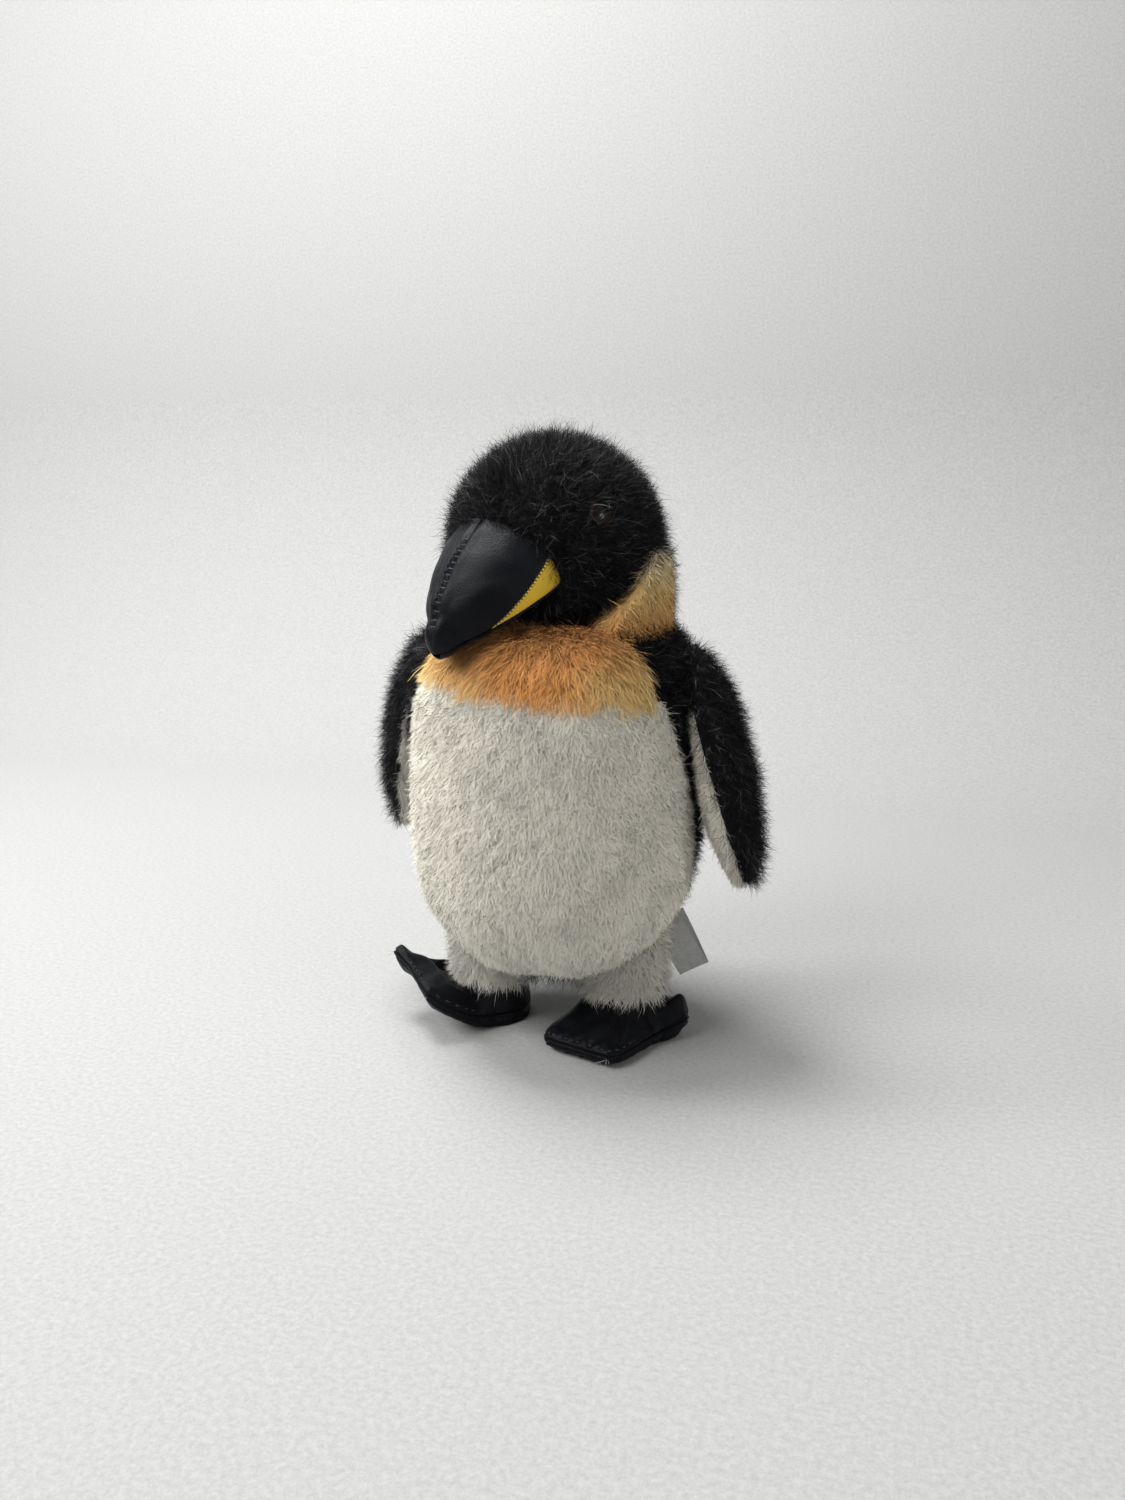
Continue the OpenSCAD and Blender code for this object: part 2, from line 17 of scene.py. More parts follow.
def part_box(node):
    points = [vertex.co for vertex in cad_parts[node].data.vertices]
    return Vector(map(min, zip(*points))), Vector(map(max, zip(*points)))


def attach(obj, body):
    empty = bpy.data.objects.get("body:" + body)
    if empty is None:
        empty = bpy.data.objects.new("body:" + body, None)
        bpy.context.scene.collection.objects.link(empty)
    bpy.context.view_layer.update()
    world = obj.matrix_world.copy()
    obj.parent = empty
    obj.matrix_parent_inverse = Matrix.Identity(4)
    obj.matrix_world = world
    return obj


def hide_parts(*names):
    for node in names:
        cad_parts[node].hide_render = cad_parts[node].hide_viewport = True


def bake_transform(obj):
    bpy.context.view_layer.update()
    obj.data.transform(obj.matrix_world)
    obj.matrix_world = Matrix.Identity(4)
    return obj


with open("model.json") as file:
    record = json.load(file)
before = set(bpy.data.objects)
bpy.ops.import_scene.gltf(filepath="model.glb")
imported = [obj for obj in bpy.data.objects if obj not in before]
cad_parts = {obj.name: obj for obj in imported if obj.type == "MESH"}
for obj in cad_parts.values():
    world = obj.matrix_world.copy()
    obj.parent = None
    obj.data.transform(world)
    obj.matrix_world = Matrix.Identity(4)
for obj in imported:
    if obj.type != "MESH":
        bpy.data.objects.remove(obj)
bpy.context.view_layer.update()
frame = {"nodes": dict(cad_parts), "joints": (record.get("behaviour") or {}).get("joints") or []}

over_grid = partial(np.meshgrid, indexing="ij")

MM = 0.001
FULL_TURN = 2 * math.pi
LEFT, UP = np.array([1.0, 0.0, 0.0]), np.array([0.0, 0.0, 1.0])
JOINTS = {joint["name"]: joint for joint in frame["joints"]}


def joint_place(name):
    return np.array(JOINTS[name]["pos_m"])


def joint_axis(name):
    return np.array(JOINTS[name]["axis"])


HEAD_CENTRE = joint_place("head_nod")
HEAD_SIDE = joint_axis("head_nod")    # the head's own left
HEAD_TURN = math.atan2(HEAD_SIDE[1], HEAD_SIDE[0])
FACE_DOWN = math.radians(25)
BODY_AXIS = np.array([HEAD_CENTRE[0], HEAD_CENTRE[1], 0.0])


# ---------- Vectors and smooth noise ----------

def unit(v):
    return v / np.maximum(np.linalg.norm(v, axis=-1, keepdims=True), 1e-12)


def flat_on(v, normal):
    """The part of v that lies in the surface, with unit length."""
    return unit(v - (v * normal).sum(-1, keepdims=True) * normal)


def ripples(points, wavelength, seed, waves=7):
    """Smooth noise at the points: its value, from about -1 to 1, and its slope's direction and size."""
    rng = np.random.default_rng(seed)
    k = unit(rng.normal(size=(waves, 3))) * FULL_TURN / wavelength
    k *= rng.uniform(0.7, 1.4, (waves, 1))
    phase = points @ k.T + rng.uniform(0, FULL_TURN, waves)
    value = np.sin(phase).sum(1) / math.sqrt(waves)
    slope = (np.cos(phase)[:, :, None] * k).sum(1) * wavelength / FULL_TURN / math.sqrt(waves)
    return value, slope


def turned_about(v, axis, angle):
    axis = unit(np.asarray(axis, float))
    c, s = math.cos(angle), math.sin(angle)
    return v * c + np.cross(axis, v) * s + axis * (v @ axis)[..., None] * (1 - c)


def nodded_and_turned(v, tilt):
    """Vectors of an upright head that looks ahead, bowed by tilt and turned as the head is."""
    return turned_about(turned_about(v, LEFT, tilt), UP, HEAD_TURN)


def bell(x, middle, spread):
    """A smooth bump: 1 at the middle, fading over the spread."""
    return np.exp(-((x - middle) / spread) ** 2)


def share_along(points, start, end):
    """How far along the line from start to end each point is: 0 at the start, 1 at the end."""
    return (points - start) @ (end - start) / ((end - start) @ (end - start))


def cad_corners(node):
    return np.array([v.co for v in frame["nodes"][node].data.vertices])


# ---------- Materials ----------

def feed(node, values):
    """Sets a node's inputs by name or number; a value that is a socket is linked."""
    for name, value in values.items():
        if isinstance(value, bpy.types.NodeSocket):
            node.id_data.links.new(value, node.inputs[name])
        else:
            node.inputs[name].default_value = value


def texture(tree, kind, values):
    """A texture that lies on the object's own coordinates."""
    where = tree.nodes.new("ShaderNodeTexCoord")
    node = tree.nodes.new(kind)
    feed(node, {"Vector": where.outputs["Object"], **values})
    return node


def noise(tree, scale, detail, roughness=0.55):
    values = {"Scale": scale, "Detail": detail, "Roughness": roughness}
    return texture(tree, "ShaderNodeTexNoise", values).outputs["Fac"]


def ramp(tree, factor, low, high, start=0.3, end=0.7):
    """A colour or grey ramp from low to high over the factor's range."""
    node = tree.nodes.new("ShaderNodeValToRGB")
    first, last = node.color_ramp.elements
    first.position, last.position = start, end
    first.color, last.color = (*low, 1), (*high, 1)
    feed(node, {"Fac": factor})
    return node.outputs["Color"]


def bump(shader, height, strength, distance, under=None):
    node = shader.id_data.nodes.new("ShaderNodeBump")
    feed(node, {"Strength": strength, "Distance": distance, "Height": height})
    if under is not None:
        feed(node, {"Normal": under})
    feed(shader, {"Normal": node.outputs["Normal"]})
    return node.outputs["Normal"]


def empty_material(name):
    made = bpy.data.materials.new(name)
    made.use_nodes = True
    return made, made.node_tree, made.node_tree.nodes["Principled BSDF"]


def flecked(name, low, high, scale, detail, roughness=0.55, start=0.3, end=0.7):
    """A material whose colour wanders between low and high; the noise that drives it comes last."""
    made, tree, shader = empty_material(name)
    fleck = noise(tree, scale, detail, roughness)
    feed(shader, {"Base Color": ramp(tree, fleck, low, high, start, end)})
    return made, tree, shader, fleck


def tinted(name, scale, patchiness, values):
    """A material that shows the mesh's own tints, varied in soft patches."""
    made, tree, shader = empty_material(name)
    tint = tree.nodes.new("ShaderNodeAttribute")
    tint.attribute_name = "tint"
    mix = tree.nodes.new("ShaderNodeMix")
    mix.data_type = "RGBA"
    mix.blend_type = "MULTIPLY"
    factor, first_colour, second_colour, result = 0, 6, 7, 2
    shade = ramp(tree, noise(tree, scale, 4), (1 - patchiness,) * 3, (1, 1, 1), 0.35, 0.65)
    feed(mix, {factor: 1.0, first_colour: tint.outputs["Color"], second_colour: shade})
    feed(shader, {"Base Color": mix.outputs[result], **values})
    return made


def pile_material(name, roughness, sheen, specular, patchiness):
    return tinted(name, 55, patchiness, {"Roughness": roughness, "Specular IOR Level": specular,
                                         "Sheen Weight": sheen, "Sheen Roughness": 0.5})


def leatherette(name, dark, light, roughness, specular, grain):
    """Coated cloth: fine pebble grain, soft creases and slightly worn high spots."""
    made, tree, shader, _ = flecked(name, dark, light, 60, 5)
    pebbles = texture(tree, "ShaderNodeTexVoronoi", {"Scale": 1500}).outputs["Distance"]
    creases = noise(tree, 260, 6, 0.6)
    worn = ramp(tree, creases, (roughness - 0.07,) * 3, (roughness + 0.09,) * 3)
    feed(shader, {"Roughness": worn, "Specular IOR Level": specular})
    coarse = bump(shader, creases, 0.22 * grain, 0.0006)
    bump(shader, pebbles, 0.30 * grain, 0.00025, coarse)
    return made


def woven(name, low, high, scale=1400, roughness=0.8):
    """Plain cloth or thread: fine crossing bands with a little colour variation."""
    made, tree, shader, _ = flecked(name, low, high, 500, 4)
    bands = texture(tree, "ShaderNodeTexWave", {"Scale": scale, "Distortion": 1.5}).outputs["Fac"]
    feed(shader, {"Roughness": roughness})
    bump(shader, bands, 0.3, 0.0003)
    return made


def fibre_fill():
    made, _, shader, fluff = flecked("fibre_fill", (0.62, 0.61, 0.58), (0.88, 0.87, 0.85), 300, 8, 0.7)
    feed(shader, {"Roughness": 0.95})
    bump(shader, fluff, 0.8, 0.002)
    return made


def moulded_plastic(name, low, high, roughness):
    made, _, shader, _ = flecked(name, low, high, 700, 3)
    feed(shader, {"Roughness": roughness})
    return made


def felt_floor():
    made, tree, shader, _ = flecked("pale_felt", (0.275, 0.275, 0.27), (0.385, 0.385, 0.38), 420, 8, 0.8,
                                    0.32, 0.68)
    feed(shader, {"Roughness": 0.95})
    bump(shader, noise(tree, 900, 6, 0.7), 0.3, 0.0008)
    return made


PILE = {
    "black": pile_material("black_pile", roughness=0.5, sheen=0.0, specular=0.10, patchiness=0.35),
    "white": pile_material("white_pile", roughness=0.75, sheen=0.1, specular=0.1, patchiness=0.10),
    "orange": pile_material("orange_pile", roughness=0.7, sheen=0.1, specular=0.12, patchiness=0.12),
}
BLACK_LEATHERETTE = leatherette("black_leatherette", (0.0022, 0.0025, 0.0036), (0.005, 0.0055, 0.0075),
                                roughness=0.42, specular=0.09, grain=1.8)
YELLOW_LEATHERETTE = leatherette("yellow_leatherette", (0.50, 0.31, 0.016), (0.62, 0.40, 0.026),
                                 roughness=0.55, specular=0.25, grain=0.5)
COTTON = woven("cotton_bag", (0.70, 0.67, 0.58), (0.82, 0.79, 0.70))
SATIN = woven("satin_ribbon", (0.42, 0.42, 0.41), (0.55, 0.55, 0.54), 2200, 0.42)
# Orange backing cloth, darkened as painted shade for the sliver of the neck roll that shows in the collar's
# gap.
PAINTED_SHADE_ORANGE_BACKING = woven("orange_backing_painted_shade", (0.42, 0.22, 0.07), (0.60, 0.34, 0.12))
PELLET = moulded_plastic("pellet_plastic", (0.75, 0.75, 0.72), (0.9, 0.9, 0.87), 0.35)
WASHER = moulded_plastic("washer_plastic", (0.60, 0.60, 0.57), (0.75, 0.75, 0.72), 0.45)
PALE_THREAD = woven("pale_thread", (0.30, 0.30, 0.29), (0.5, 0.5, 0.48), 3000)
THREAD = woven("black_thread", (0.02, 0.02, 0.023), (0.055, 0.055, 0.06), 3000)
FIBRE = fibre_fill()
EYE_GLOSS = tinted("eye_gloss", 900, 0.3, {"Roughness": 0.12, "Specular IOR Level": 0.3,
                                          "Coat Weight": 0.35, "Coat Roughness": 0.03})


# ---------- Meshes ----------

def mesh_piece(name, verts, tris, material, tints=None, uv=None, normals=None):
    """A mesh object of triangles in metres; tints are colours and uv places of its points."""
    mesh = bpy.data.meshes.new(name)
    mesh.from_pydata(np.asarray(verts, np.float32), [], np.asarray(tris, np.int32))
    mesh.materials.append(material)
    mesh.shade_smooth()
    if tints is not None:
        colour = mesh.color_attributes.new("tint", "FLOAT_COLOR", "POINT")
        rgba = np.ones((len(verts), 4), np.float32)
        rgba[:, :3] = tints
        colour.data.foreach_set("color", rgba.ravel())
    if uv is not None:
        layer = mesh.uv_layers.new(name="OFBake")
        layer.data.foreach_set("uv", np.asarray(uv, np.float32)[np.asarray(tris).ravel()].ravel())
    if normals is not None:
        mesh.normals_split_custom_set_from_vertices(np.asarray(normals, np.float32))
    piece = bpy.data.objects.new(name, mesh)
    bpy.context.scene.collection.objects.link(piece)
    return piece


def quads_to_tris(quads):
    quads = np.asarray(quads)
    return np.concatenate([quads[:, [0, 1, 2]], quads[:, [0, 2, 3]]])


def grid_quads(rows, cols, around):
    """Corner numbers of a grid's quads, row after row."""
    i, j = over_grid(np.arange(rows - 1), np.arange(cols if around else cols - 1))
    i, j = i.ravel(), j.ravel()
    k = (j + 1) % cols
    return np.stack([i * cols + j, i * cols + k, (i + 1) * cols + k, (i + 1) * cols + j], 1)


def vertex_normals(verts, tris):
    a, b, c = (verts[tris[:, k]] for k in range(3))
    face = np.cross(b - a, c - a)
    out = np.zeros_like(verts)
    for k in range(3):
        np.add.at(out, tris[:, k], face)
    return unit(out)


# ---------- Skins wrapped from the CAD panels ----------

Skin = namedtuple("Skin", "points normals uv quads panel")
NEARLY_POLE = 0.985    # the last rays stop just short of the pole


def cad_faces(nodes):
    verts, faces, owner = [], [], []
    for number, name in enumerate(nodes):
        data = frame["nodes"][name].data
        start = len(verts)
        verts += [v.co.copy() for v in data.vertices]
        faces += [[start + v for v in p.vertices] for p in data.polygons]
        owner += [number] * len(data.polygons)
    return BVHTree.FromPolygons(verts, faces), np.array(owner)


def mended(points, panel, passes=8):
    """Fills places where a ray slipped between two panels from the places beside them."""
    for _ in range(passes):
        left, right = np.roll(points, 1, 1), np.roll(points, -1, 1)
        between = np.where(np.isnan(left), right, np.where(np.isnan(right), left, (left + right) / 2))
        beside = np.where(np.roll(panel, 1, 1) < 0, np.roll(panel, -1, 1), np.roll(panel, 1, 1))
        panel = np.where(panel < 0, beside, panel)
        points = np.where(np.isnan(points), between, points)
    return points, panel


def wrap(nodes, low, high, rows, cols, reach, ends=True, soften=2, mend=False):
    """The outer surface of the CAD panels, as rays aimed at the line low-high meet it.

    Returns a Skin whose quads know which panel they lie on, or -1 where there is none."""
    low, high = np.array(low, float), np.array(high, float)
    length = np.linalg.norm(high - low)
    axis = unit(high - low) if length > 1e-6 else np.array([0.0, 0.0, 1.0])
    first = unit(np.cross(axis, [0.0, -1.0, 0.0])) if abs(axis[1]) < 0.9 else np.array([1.0, 0, 0])
    second = np.cross(axis, first)
    cap = 0.45 * reach * math.pi / 2 if ends else 0.0
    tree, owner = cad_faces(nodes)
    points = np.full((rows, cols, 3), np.nan)
    panel = np.full((rows, cols), -1)
    for i, s in enumerate(np.linspace(-cap, length + cap, rows)):
        lift = 0.0
        if s < 0:
            lift = -math.pi / 2 * min(-s / cap, NEARLY_POLE)
        if s > length:
            lift = math.pi / 2 * min((s - length) / cap, NEARLY_POLE)
        target = low + axis * min(max(s, 0), length)
        for j in range(cols):
            angle = FULL_TURN * j / cols
            radial = first * math.cos(angle) + second * math.sin(angle)
            out = axis * math.sin(lift) + radial * math.cos(lift)
            start = target + out * reach
            hit, _, face, _ = tree.ray_cast(Vector(start), Vector(-out), reach)
            if hit is not None:
                points[i, j] = hit
                panel[i, j] = owner[face]
    if mend:
        points, panel = mended(points, panel)
    for _ in range(soften):
        points = softened(points)
    quads = grid_quads(rows, cols, True)
    flat = points.reshape(-1, 3)
    whole = ~np.isnan(flat[quads]).any((1, 2))
    quads, label = quads[whole], panel.ravel()[quads[whole, 0]]
    filled = np.nan_to_num(flat)
    middle = low + axis * np.clip((filled - low) @ axis, 0, length)[:, None]
    normals = vertex_normals(filled, quads_to_tris(quads))
    if ((filled - middle) * normals).sum() < 0:
        quads, normals = quads[:, ::-1], -normals
    v, u = over_grid(np.linspace(0.01, 0.99, rows), np.linspace(0.01, 0.99, cols))
    return Skin(filled, normals, np.stack([u.ravel(), v.ravel()], 1), quads, label)


def softened(points):
    """One pass of smoothing over a grid that closes on itself sideways; its holes stay holes."""
    around = [np.roll(points, 1, 1), np.roll(points, -1, 1)]
    up = np.concatenate([points[:1], points[:-1]])
    down = np.concatenate([points[1:], points[-1:]])
    near = np.stack([points, points, *around, up, down])
    near = np.where(np.isnan(near), points, near)
    return near.mean(0)


def lumpy(skin, height, wavelength, seed):
    """The skin with the soft dents and swells of loose filling."""
    value, _ = ripples(skin.points, wavelength, seed)
    points = skin.points + skin.normals * (value * height)[:, None]
    return skin._replace(points=points)


# ---------- Pile ----------

# Lengths in metres, density in strands per square metre, lean in degrees from the normal.
# Each pile's root darkening is painted shade: strands darken towards their roots, and the skin under them is
# darkened the same way, where the pile shades itself.
Pile = namedtuple("Pile", "density length width lean scatter droop curl clump clump_size swirl wave strays "
                  "tallest colour root_shade softness shade")
STRAND_STEPS = 3
STRAND_POINTS = 2 * STRAND_STEPS + 1
STRAY_LENGTH, STRAY_LEAN = 1.6, 0.6
ROOT_DEPTH = 0.3 * MM


def scatter(skin, quads, density, rng):
    """Random places on the quads, so many to the square metre: points, normals and uv."""
    a, b, c, d = (skin.points[quads[:, k]] for k in range(4))
    area = np.linalg.norm(np.cross(c - a, d - b), axis=1) / 2
    count = int(area.sum() * density)
    pick = rng.choice(len(quads), count, p=area / area.sum())
    s, t = rng.random((2, count, 1))
    weights = [(1 - s) * (1 - t), s * (1 - t), s * t, (1 - s) * t]
    corners = quads[pick]

    def at(values):
        return sum(w * values[corners[:, k]] for k, w in enumerate(weights))

    return at(skin.points), unit(at(skin.normals)), at_uv(skin, corners, weights)


def at_uv(skin, corners, weights):
    """uv inside the quads, without smearing across the seam where the grid closes."""
    uv = skin.uv[corners].copy()
    split = np.ptp(uv[:, :, 0], axis=1) > 0.5
    uv[split, :, 0] = uv[split, :1, 0]
    return sum(w * uv[:, k] for k, w in enumerate(weights))


def strands(points, normals, comb, pile, rng):
    """Tapered, curved ribbons that start at the points. Returns vertices, triangles and normals."""
    n = len(points)
    stray = rng.random((n, 1)) < pile.strays
    length = pile.length * rng.uniform(0.65, 1.1, (n, 1)) * np.where(stray, STRAY_LENGTH, 1.0)
    lean = np.radians(np.where(stray, STRAY_LEAN, 1.0) * pile.lean + rng.normal(0, pile.scatter, (n, 1)))
    length = np.minimum(length, pile.tallest / np.maximum(np.cos(lean), 0.2))
    _, slope = ripples(points, pile.clump_size, 11)
    _, swirl = ripples(points, pile.wave, 23)
    comb = flat_on(comb + pile.swirl * swirl + 0.03 * pile.scatter * rng.normal(size=(n, 3)), normals)
    side = np.cross(normals, comb)
    bend = rng.normal(0, pile.curl, (n, 1)) * length
    gather = (slope - (slope * normals).sum(1, keepdims=True) * normals) * pile.clump * pile.length
    centre = []
    for t in np.linspace(0, 1, STRAND_STEPS + 1):
        rise = np.cos(lean) * (t - 0.5 * pile.droop * t * t)
        run = np.sin(lean) * t + 0.5 * pile.droop * np.cos(lean) * t * t
        centre.append(points + normals * (length * rise - ROOT_DEPTH) + comb * length * run
                      + side * bend * t * t + gather * t ** 1.5)
    along = unit(centre[-1] - centre[0])
    across = unit(np.cross(along, normals) + 0.02 * side)
    over = np.cross(across, along)
    roll = rng.uniform(-1.2, 1.2, (n, 1))
    ribbon = across * np.cos(roll) + over * np.sin(roll)
    width = pile.width * rng.uniform(0.7, 1.3, (n, 1))
    rows = []
    for k in range(STRAND_STEPS):
        half = ribbon * width * 0.5 * (1 - k / STRAND_STEPS) ** 0.6
        rows += [centre[k] - half, centre[k] + half]
    verts = np.stack([*rows, centre[-1]], 1)
    tri = []
    for k in range(STRAND_STEPS - 1):
        p = 2 * k
        tri += [[p, p + 1, p + 3], [p, p + 3, p + 2]]
    tri.append(list(range(STRAND_POINTS - 3, STRAND_POINTS)))
    tris = (np.arange(n)[:, None, None] * STRAND_POINTS + np.array(tri)[None]).reshape(-1, 3)
    facing = np.cross(ribbon, along)
    facing *= np.sign((facing * normals).sum(1, keepdims=True) + 1e-9)
    shown = unit(facing * (1 - pile.softness) + normals * pile.softness)
    return verts.reshape(-1, 3), tris, np.repeat(shown, STRAND_POINTS, 0)


def pelt(skin, panels, panel, pile, comb, seed, keep=None, grow=None, name=None):
    """One panel's skin with its pile, as a piece that stands for the CAD panel of that name."""
    rng = np.random.default_rng(seed)
    quads = skin.quads[skin.panel == panels.index(panel)]
    roots, normals, uv = scatter(skin, quads, pile.density, rng)
    if keep is not None:
        kept = keep(roots)
        roots, normals, uv = roots[kept], normals[kept], uv[kept]
    local = pile if grow is None else pile._replace(length=pile.length * grow(roots)[:, None])
    verts, tris, shown = strands(roots, normals, comb(roots, normals), local, rng)
    up_strand = np.concatenate([np.repeat(np.arange(STRAND_STEPS) / STRAND_STEPS, 2), [1.0]])
    # Painted shade: each strand is darkest at its root and full colour at its tip.
    fade = pile.root_shade + (1 - pile.root_shade) * up_strand
    tints = pile.colour(roots, rng)[:, None, :] * fade[None, :, None]
    used, back = np.unique(quads, return_inverse=True)
    base_tris = quads_to_tris(back.reshape(quads.shape))
    # Painted shade: the skin under the pile takes the darkened colour of the roots.
    base_tint = pile.colour(skin.points[used], np.random.default_rng(seed + 1)) * pile.root_shade
    piece = mesh_piece(
        name or panel + "_plush",
        np.concatenate([skin.points[used], verts]),
        np.concatenate([base_tris, tris + len(used)]),
        PILE[pile.shade],
        np.concatenate([base_tint, tints.reshape(-1, 3)]),
        np.concatenate([skin.uv[used], np.repeat(uv, STRAND_POINTS, 0)]),
        np.concatenate([skin.normals[used], shown]))
    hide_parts(panel)
    return piece


# ---------- Pile colours ----------

def black_fibres(points, rng):
    """Near black, with a few lighter fibres painted in as glints."""
    # Painted highlights: about six fibres in a hundred are lighter grey, standing in for glints.
    shade = np.where(rng.random(len(points)) < 0.06, rng.uniform(0.05, 0.22, len(points)),
                     rng.uniform(0.003, 0.009, len(points)))
    return shade[:, None] * np.array([[0.97, 1.0, 1.12]])


def white_fibres(points, rng):
    value, _ = ripples(points, 0.03, 5)
    shade = 0.90 + 0.03 * value + rng.uniform(-0.05, 0.04, len(points))
    return shade[:, None] * np.array([[1.0, 0.965, 0.85]])


def cuff_fibres_in_painted_shade(points, rng):
    """The belly's colour, darkened as painted shade where the belly overhangs the cuffs."""
    return white_fibres(points, rng) * np.array([[0.80, 0.80, 0.81]])


def orange_to_yellow(share, rng, count):
    """Orange at 0, yellow at 1 and cream at 2."""
    orange, yellow, cream = np.array([[0.90, 0.42, 0.13], [0.93, 0.68, 0.28], [0.95, 0.86, 0.66]])
    colour = orange + (yellow - orange) * np.clip(share, 0, 1)[:, None]
    colour = colour + (cream - yellow) * np.clip(share - 1, 0, 1)[:, None]
    return colour * rng.uniform(0.85, 1.1, (count, 1))


def bib_fibres(points, rng):
    """Orange in mid chest, yellow towards the lower seam and the sides, and darker under the chin: a deeper
    orange with painted shade from the head.
    """
    low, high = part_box("bib_panel")
    down = 1 - (points[:, 2] - low[2]) / (high[2] - low[2])
    aside = np.abs(points[:, 0] - 0.004) / 0.05
    value, _ = ripples(points, 0.02, 8)
    yellow = 0.9 * (down - 0.35) + 1.15 * (aside - 0.36) + 0.14 * value
    tint = orange_to_yellow(yellow, rng, len(points))
    # Painted shade from the head, together with a deeper orange: the colour darkens towards the top of the
    # bib.
    return tint * (0.66 + 0.30 * np.clip(down / 0.6, 0, 1))[:, None]


def patch_fibres(points, rng):
    """Orange at the bottom of the neck, cream at the top."""
    low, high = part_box("neck_patch_left")
    up = (points[:, 2] - low[2]) / (high[2] - low[2])
    shade = 0.8 + 0.2 * np.clip(2 * up, 0, 1)
    return orange_to_yellow(-0.15 + 2.0 * up, rng, len(points)) * shade[:, None]


def inner_fibres(shoulder, tip):
    """White, but black where the shoulder's pile spreads over the flipper's inner side."""
    def colour(points, rng):
        dark = share_along(points, shoulder, tip) + rng.normal(0, 0.015, len(points)) < 0.25
        return np.where(dark[:, None], black_fibres(points, rng), white_fibres(points, rng))
    return colour


# ---------- Combing ----------

FACE = nodded_and_turned(np.array([0.0, -1.0, 0.0]), FACE_DOWN)


def comb_down(points, normals):
    return flat_on(np.broadcast_to(-UP, points.shape), normals)


def comb_back(points, normals):
    """Outwards from the middle plane and down, as on the back and the shoulders."""
    aside = np.stack([np.sign(points[:, 0]) * 0.35, 0.25 + 0 * points[:, 0], -np.ones(len(points))], 1)
    return flat_on(aside, normals)


def comb_head(points, normals):
    """Away from the beak, turning down at the sides."""
    away = -np.broadcast_to(FACE, points.shape) - 0.55 * UP
    return flat_on(away, normals)


def comb_towards(target):
    def comb(points, normals):
        return flat_on(np.asarray(target) - points, normals)
    return comb


# ---------- Plush pieces ----------

LONG_BLACK = Pile(density=2.3e6, length=8.5 * MM, width=0.24 * MM, lean=32, scatter=24, droop=0.3, curl=0.4,
                  clump=0.14, clump_size=0.006, swirl=0.5, wave=0.03, strays=0.06, tallest=11 * MM,
                  colour=black_fibres, root_shade=0.5, softness=0.2, shade="black")
SHORT_WHITE = Pile(density=4.0e6, length=4.8 * MM, width=0.32 * MM, lean=34, scatter=17, droop=0.45,
                   curl=0.25, clump=0.14, clump_size=0.006, swirl=0.3, wave=0.02, strays=0.03, tallest=9 * MM,
                   colour=white_fibres, root_shade=0.9, softness=0.74, shade="white")
BIB_PILE = Pile(density=3.0e6, length=9 * MM, width=0.34 * MM, lean=50, scatter=10, droop=0.5, curl=0.14,
                clump=0.2, clump_size=0.009, swirl=0.45, wave=0.03, strays=0.01, tallest=12 * MM,
                colour=bib_fibres, root_shade=0.72, softness=0.7, shade="orange")
BACK_PILE = LONG_BLACK._replace(density=1.94e6, width=0.26 * MM)
BASE_PILE = LONG_BLACK._replace(length=17 * MM, tallest=17 * MM, lean=15)
HEAD_PILE = LONG_BLACK._replace(tallest=14 * MM, strays=0.08)
FLIPPER_PILE = LONG_BLACK._replace(density=1.6e6, lean=44, strays=0.07, tallest=10.5 * MM)
TAIL_PILE = LONG_BLACK._replace(length=8 * MM, tallest=8 * MM)
PATCH_PILE = BIB_PILE._replace(density=2.8e6, lean=44, scatter=14, colour=patch_fibres)
CUFF_PILE = SHORT_WHITE._replace(density=3.4e6, length=9 * MM, width=0.34 * MM, lean=46, scatter=20,
                                 droop=0.3, curl=0.3, clump=0.6, strays=0.06, colour=cuff_fibres_in_painted_shade)


def finish_piece(piece, body, stands_for=None):
    """The piece moves with the body, and the CAD part it stands for is hidden; a pelt has already hidden its
    own panel.
    """
    if stands_for is not None:
        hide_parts(stands_for)
    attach(piece, body)


def near_legs(points):
    """The belly's pile is fluffier low down, where it runs into the leg cuffs."""
    low = np.clip((0.058 - points[:, 2]) / 0.03, 0, 1)
    return 1 + 1.1 * low * np.clip((np.abs(points[:, 0]) - 0.008) / 0.008, 0, 1)


def near_shoulders(points):
    """The pile is longer around the shoulders, where it hides the flipper seams."""
    away = [np.linalg.norm(points - joint_place(joint), axis=1)
            for joint in ("flipper_left_raise", "flipper_right_raise")]
    return 1 + 0.7 * bell(np.minimum(*away), 0, 15 * MM)


def make_torso():
    looks = {
        "belly_panel": (SHORT_WHITE, comb_down, None),
        "bib_panel": (BIB_PILE, comb_down, None),
        "back_panel_left": (BACK_PILE, comb_back, near_shoulders),
        "back_panel_right": (BACK_PILE, comb_back, near_shoulders),
        "base_panel": (BASE_PILE, comb_down, None),
    }
    panels = list(looks)
    low, high = BODY_AXIS + 0.1 * UP, BODY_AXIS + 0.15 * UP
    skin = lumpy(wrap(panels, low, high, 96, 150, 0.12), 0.8 * MM, 0.05, 3)
    for number, (panel, (pile, comb, grow)) in enumerate(looks.items()):
        if panel == "belly_panel":
            belly_parts(skin, panels, pile, comb)
        else:
            piece = pelt(skin, panels, panel, pile, comb, 100 + number, grow=grow)
            finish_piece(piece, "torso")


BELLY_CUTS = (-180, -43, -15, 15, 43, 180)    # degrees around the body from straight ahead


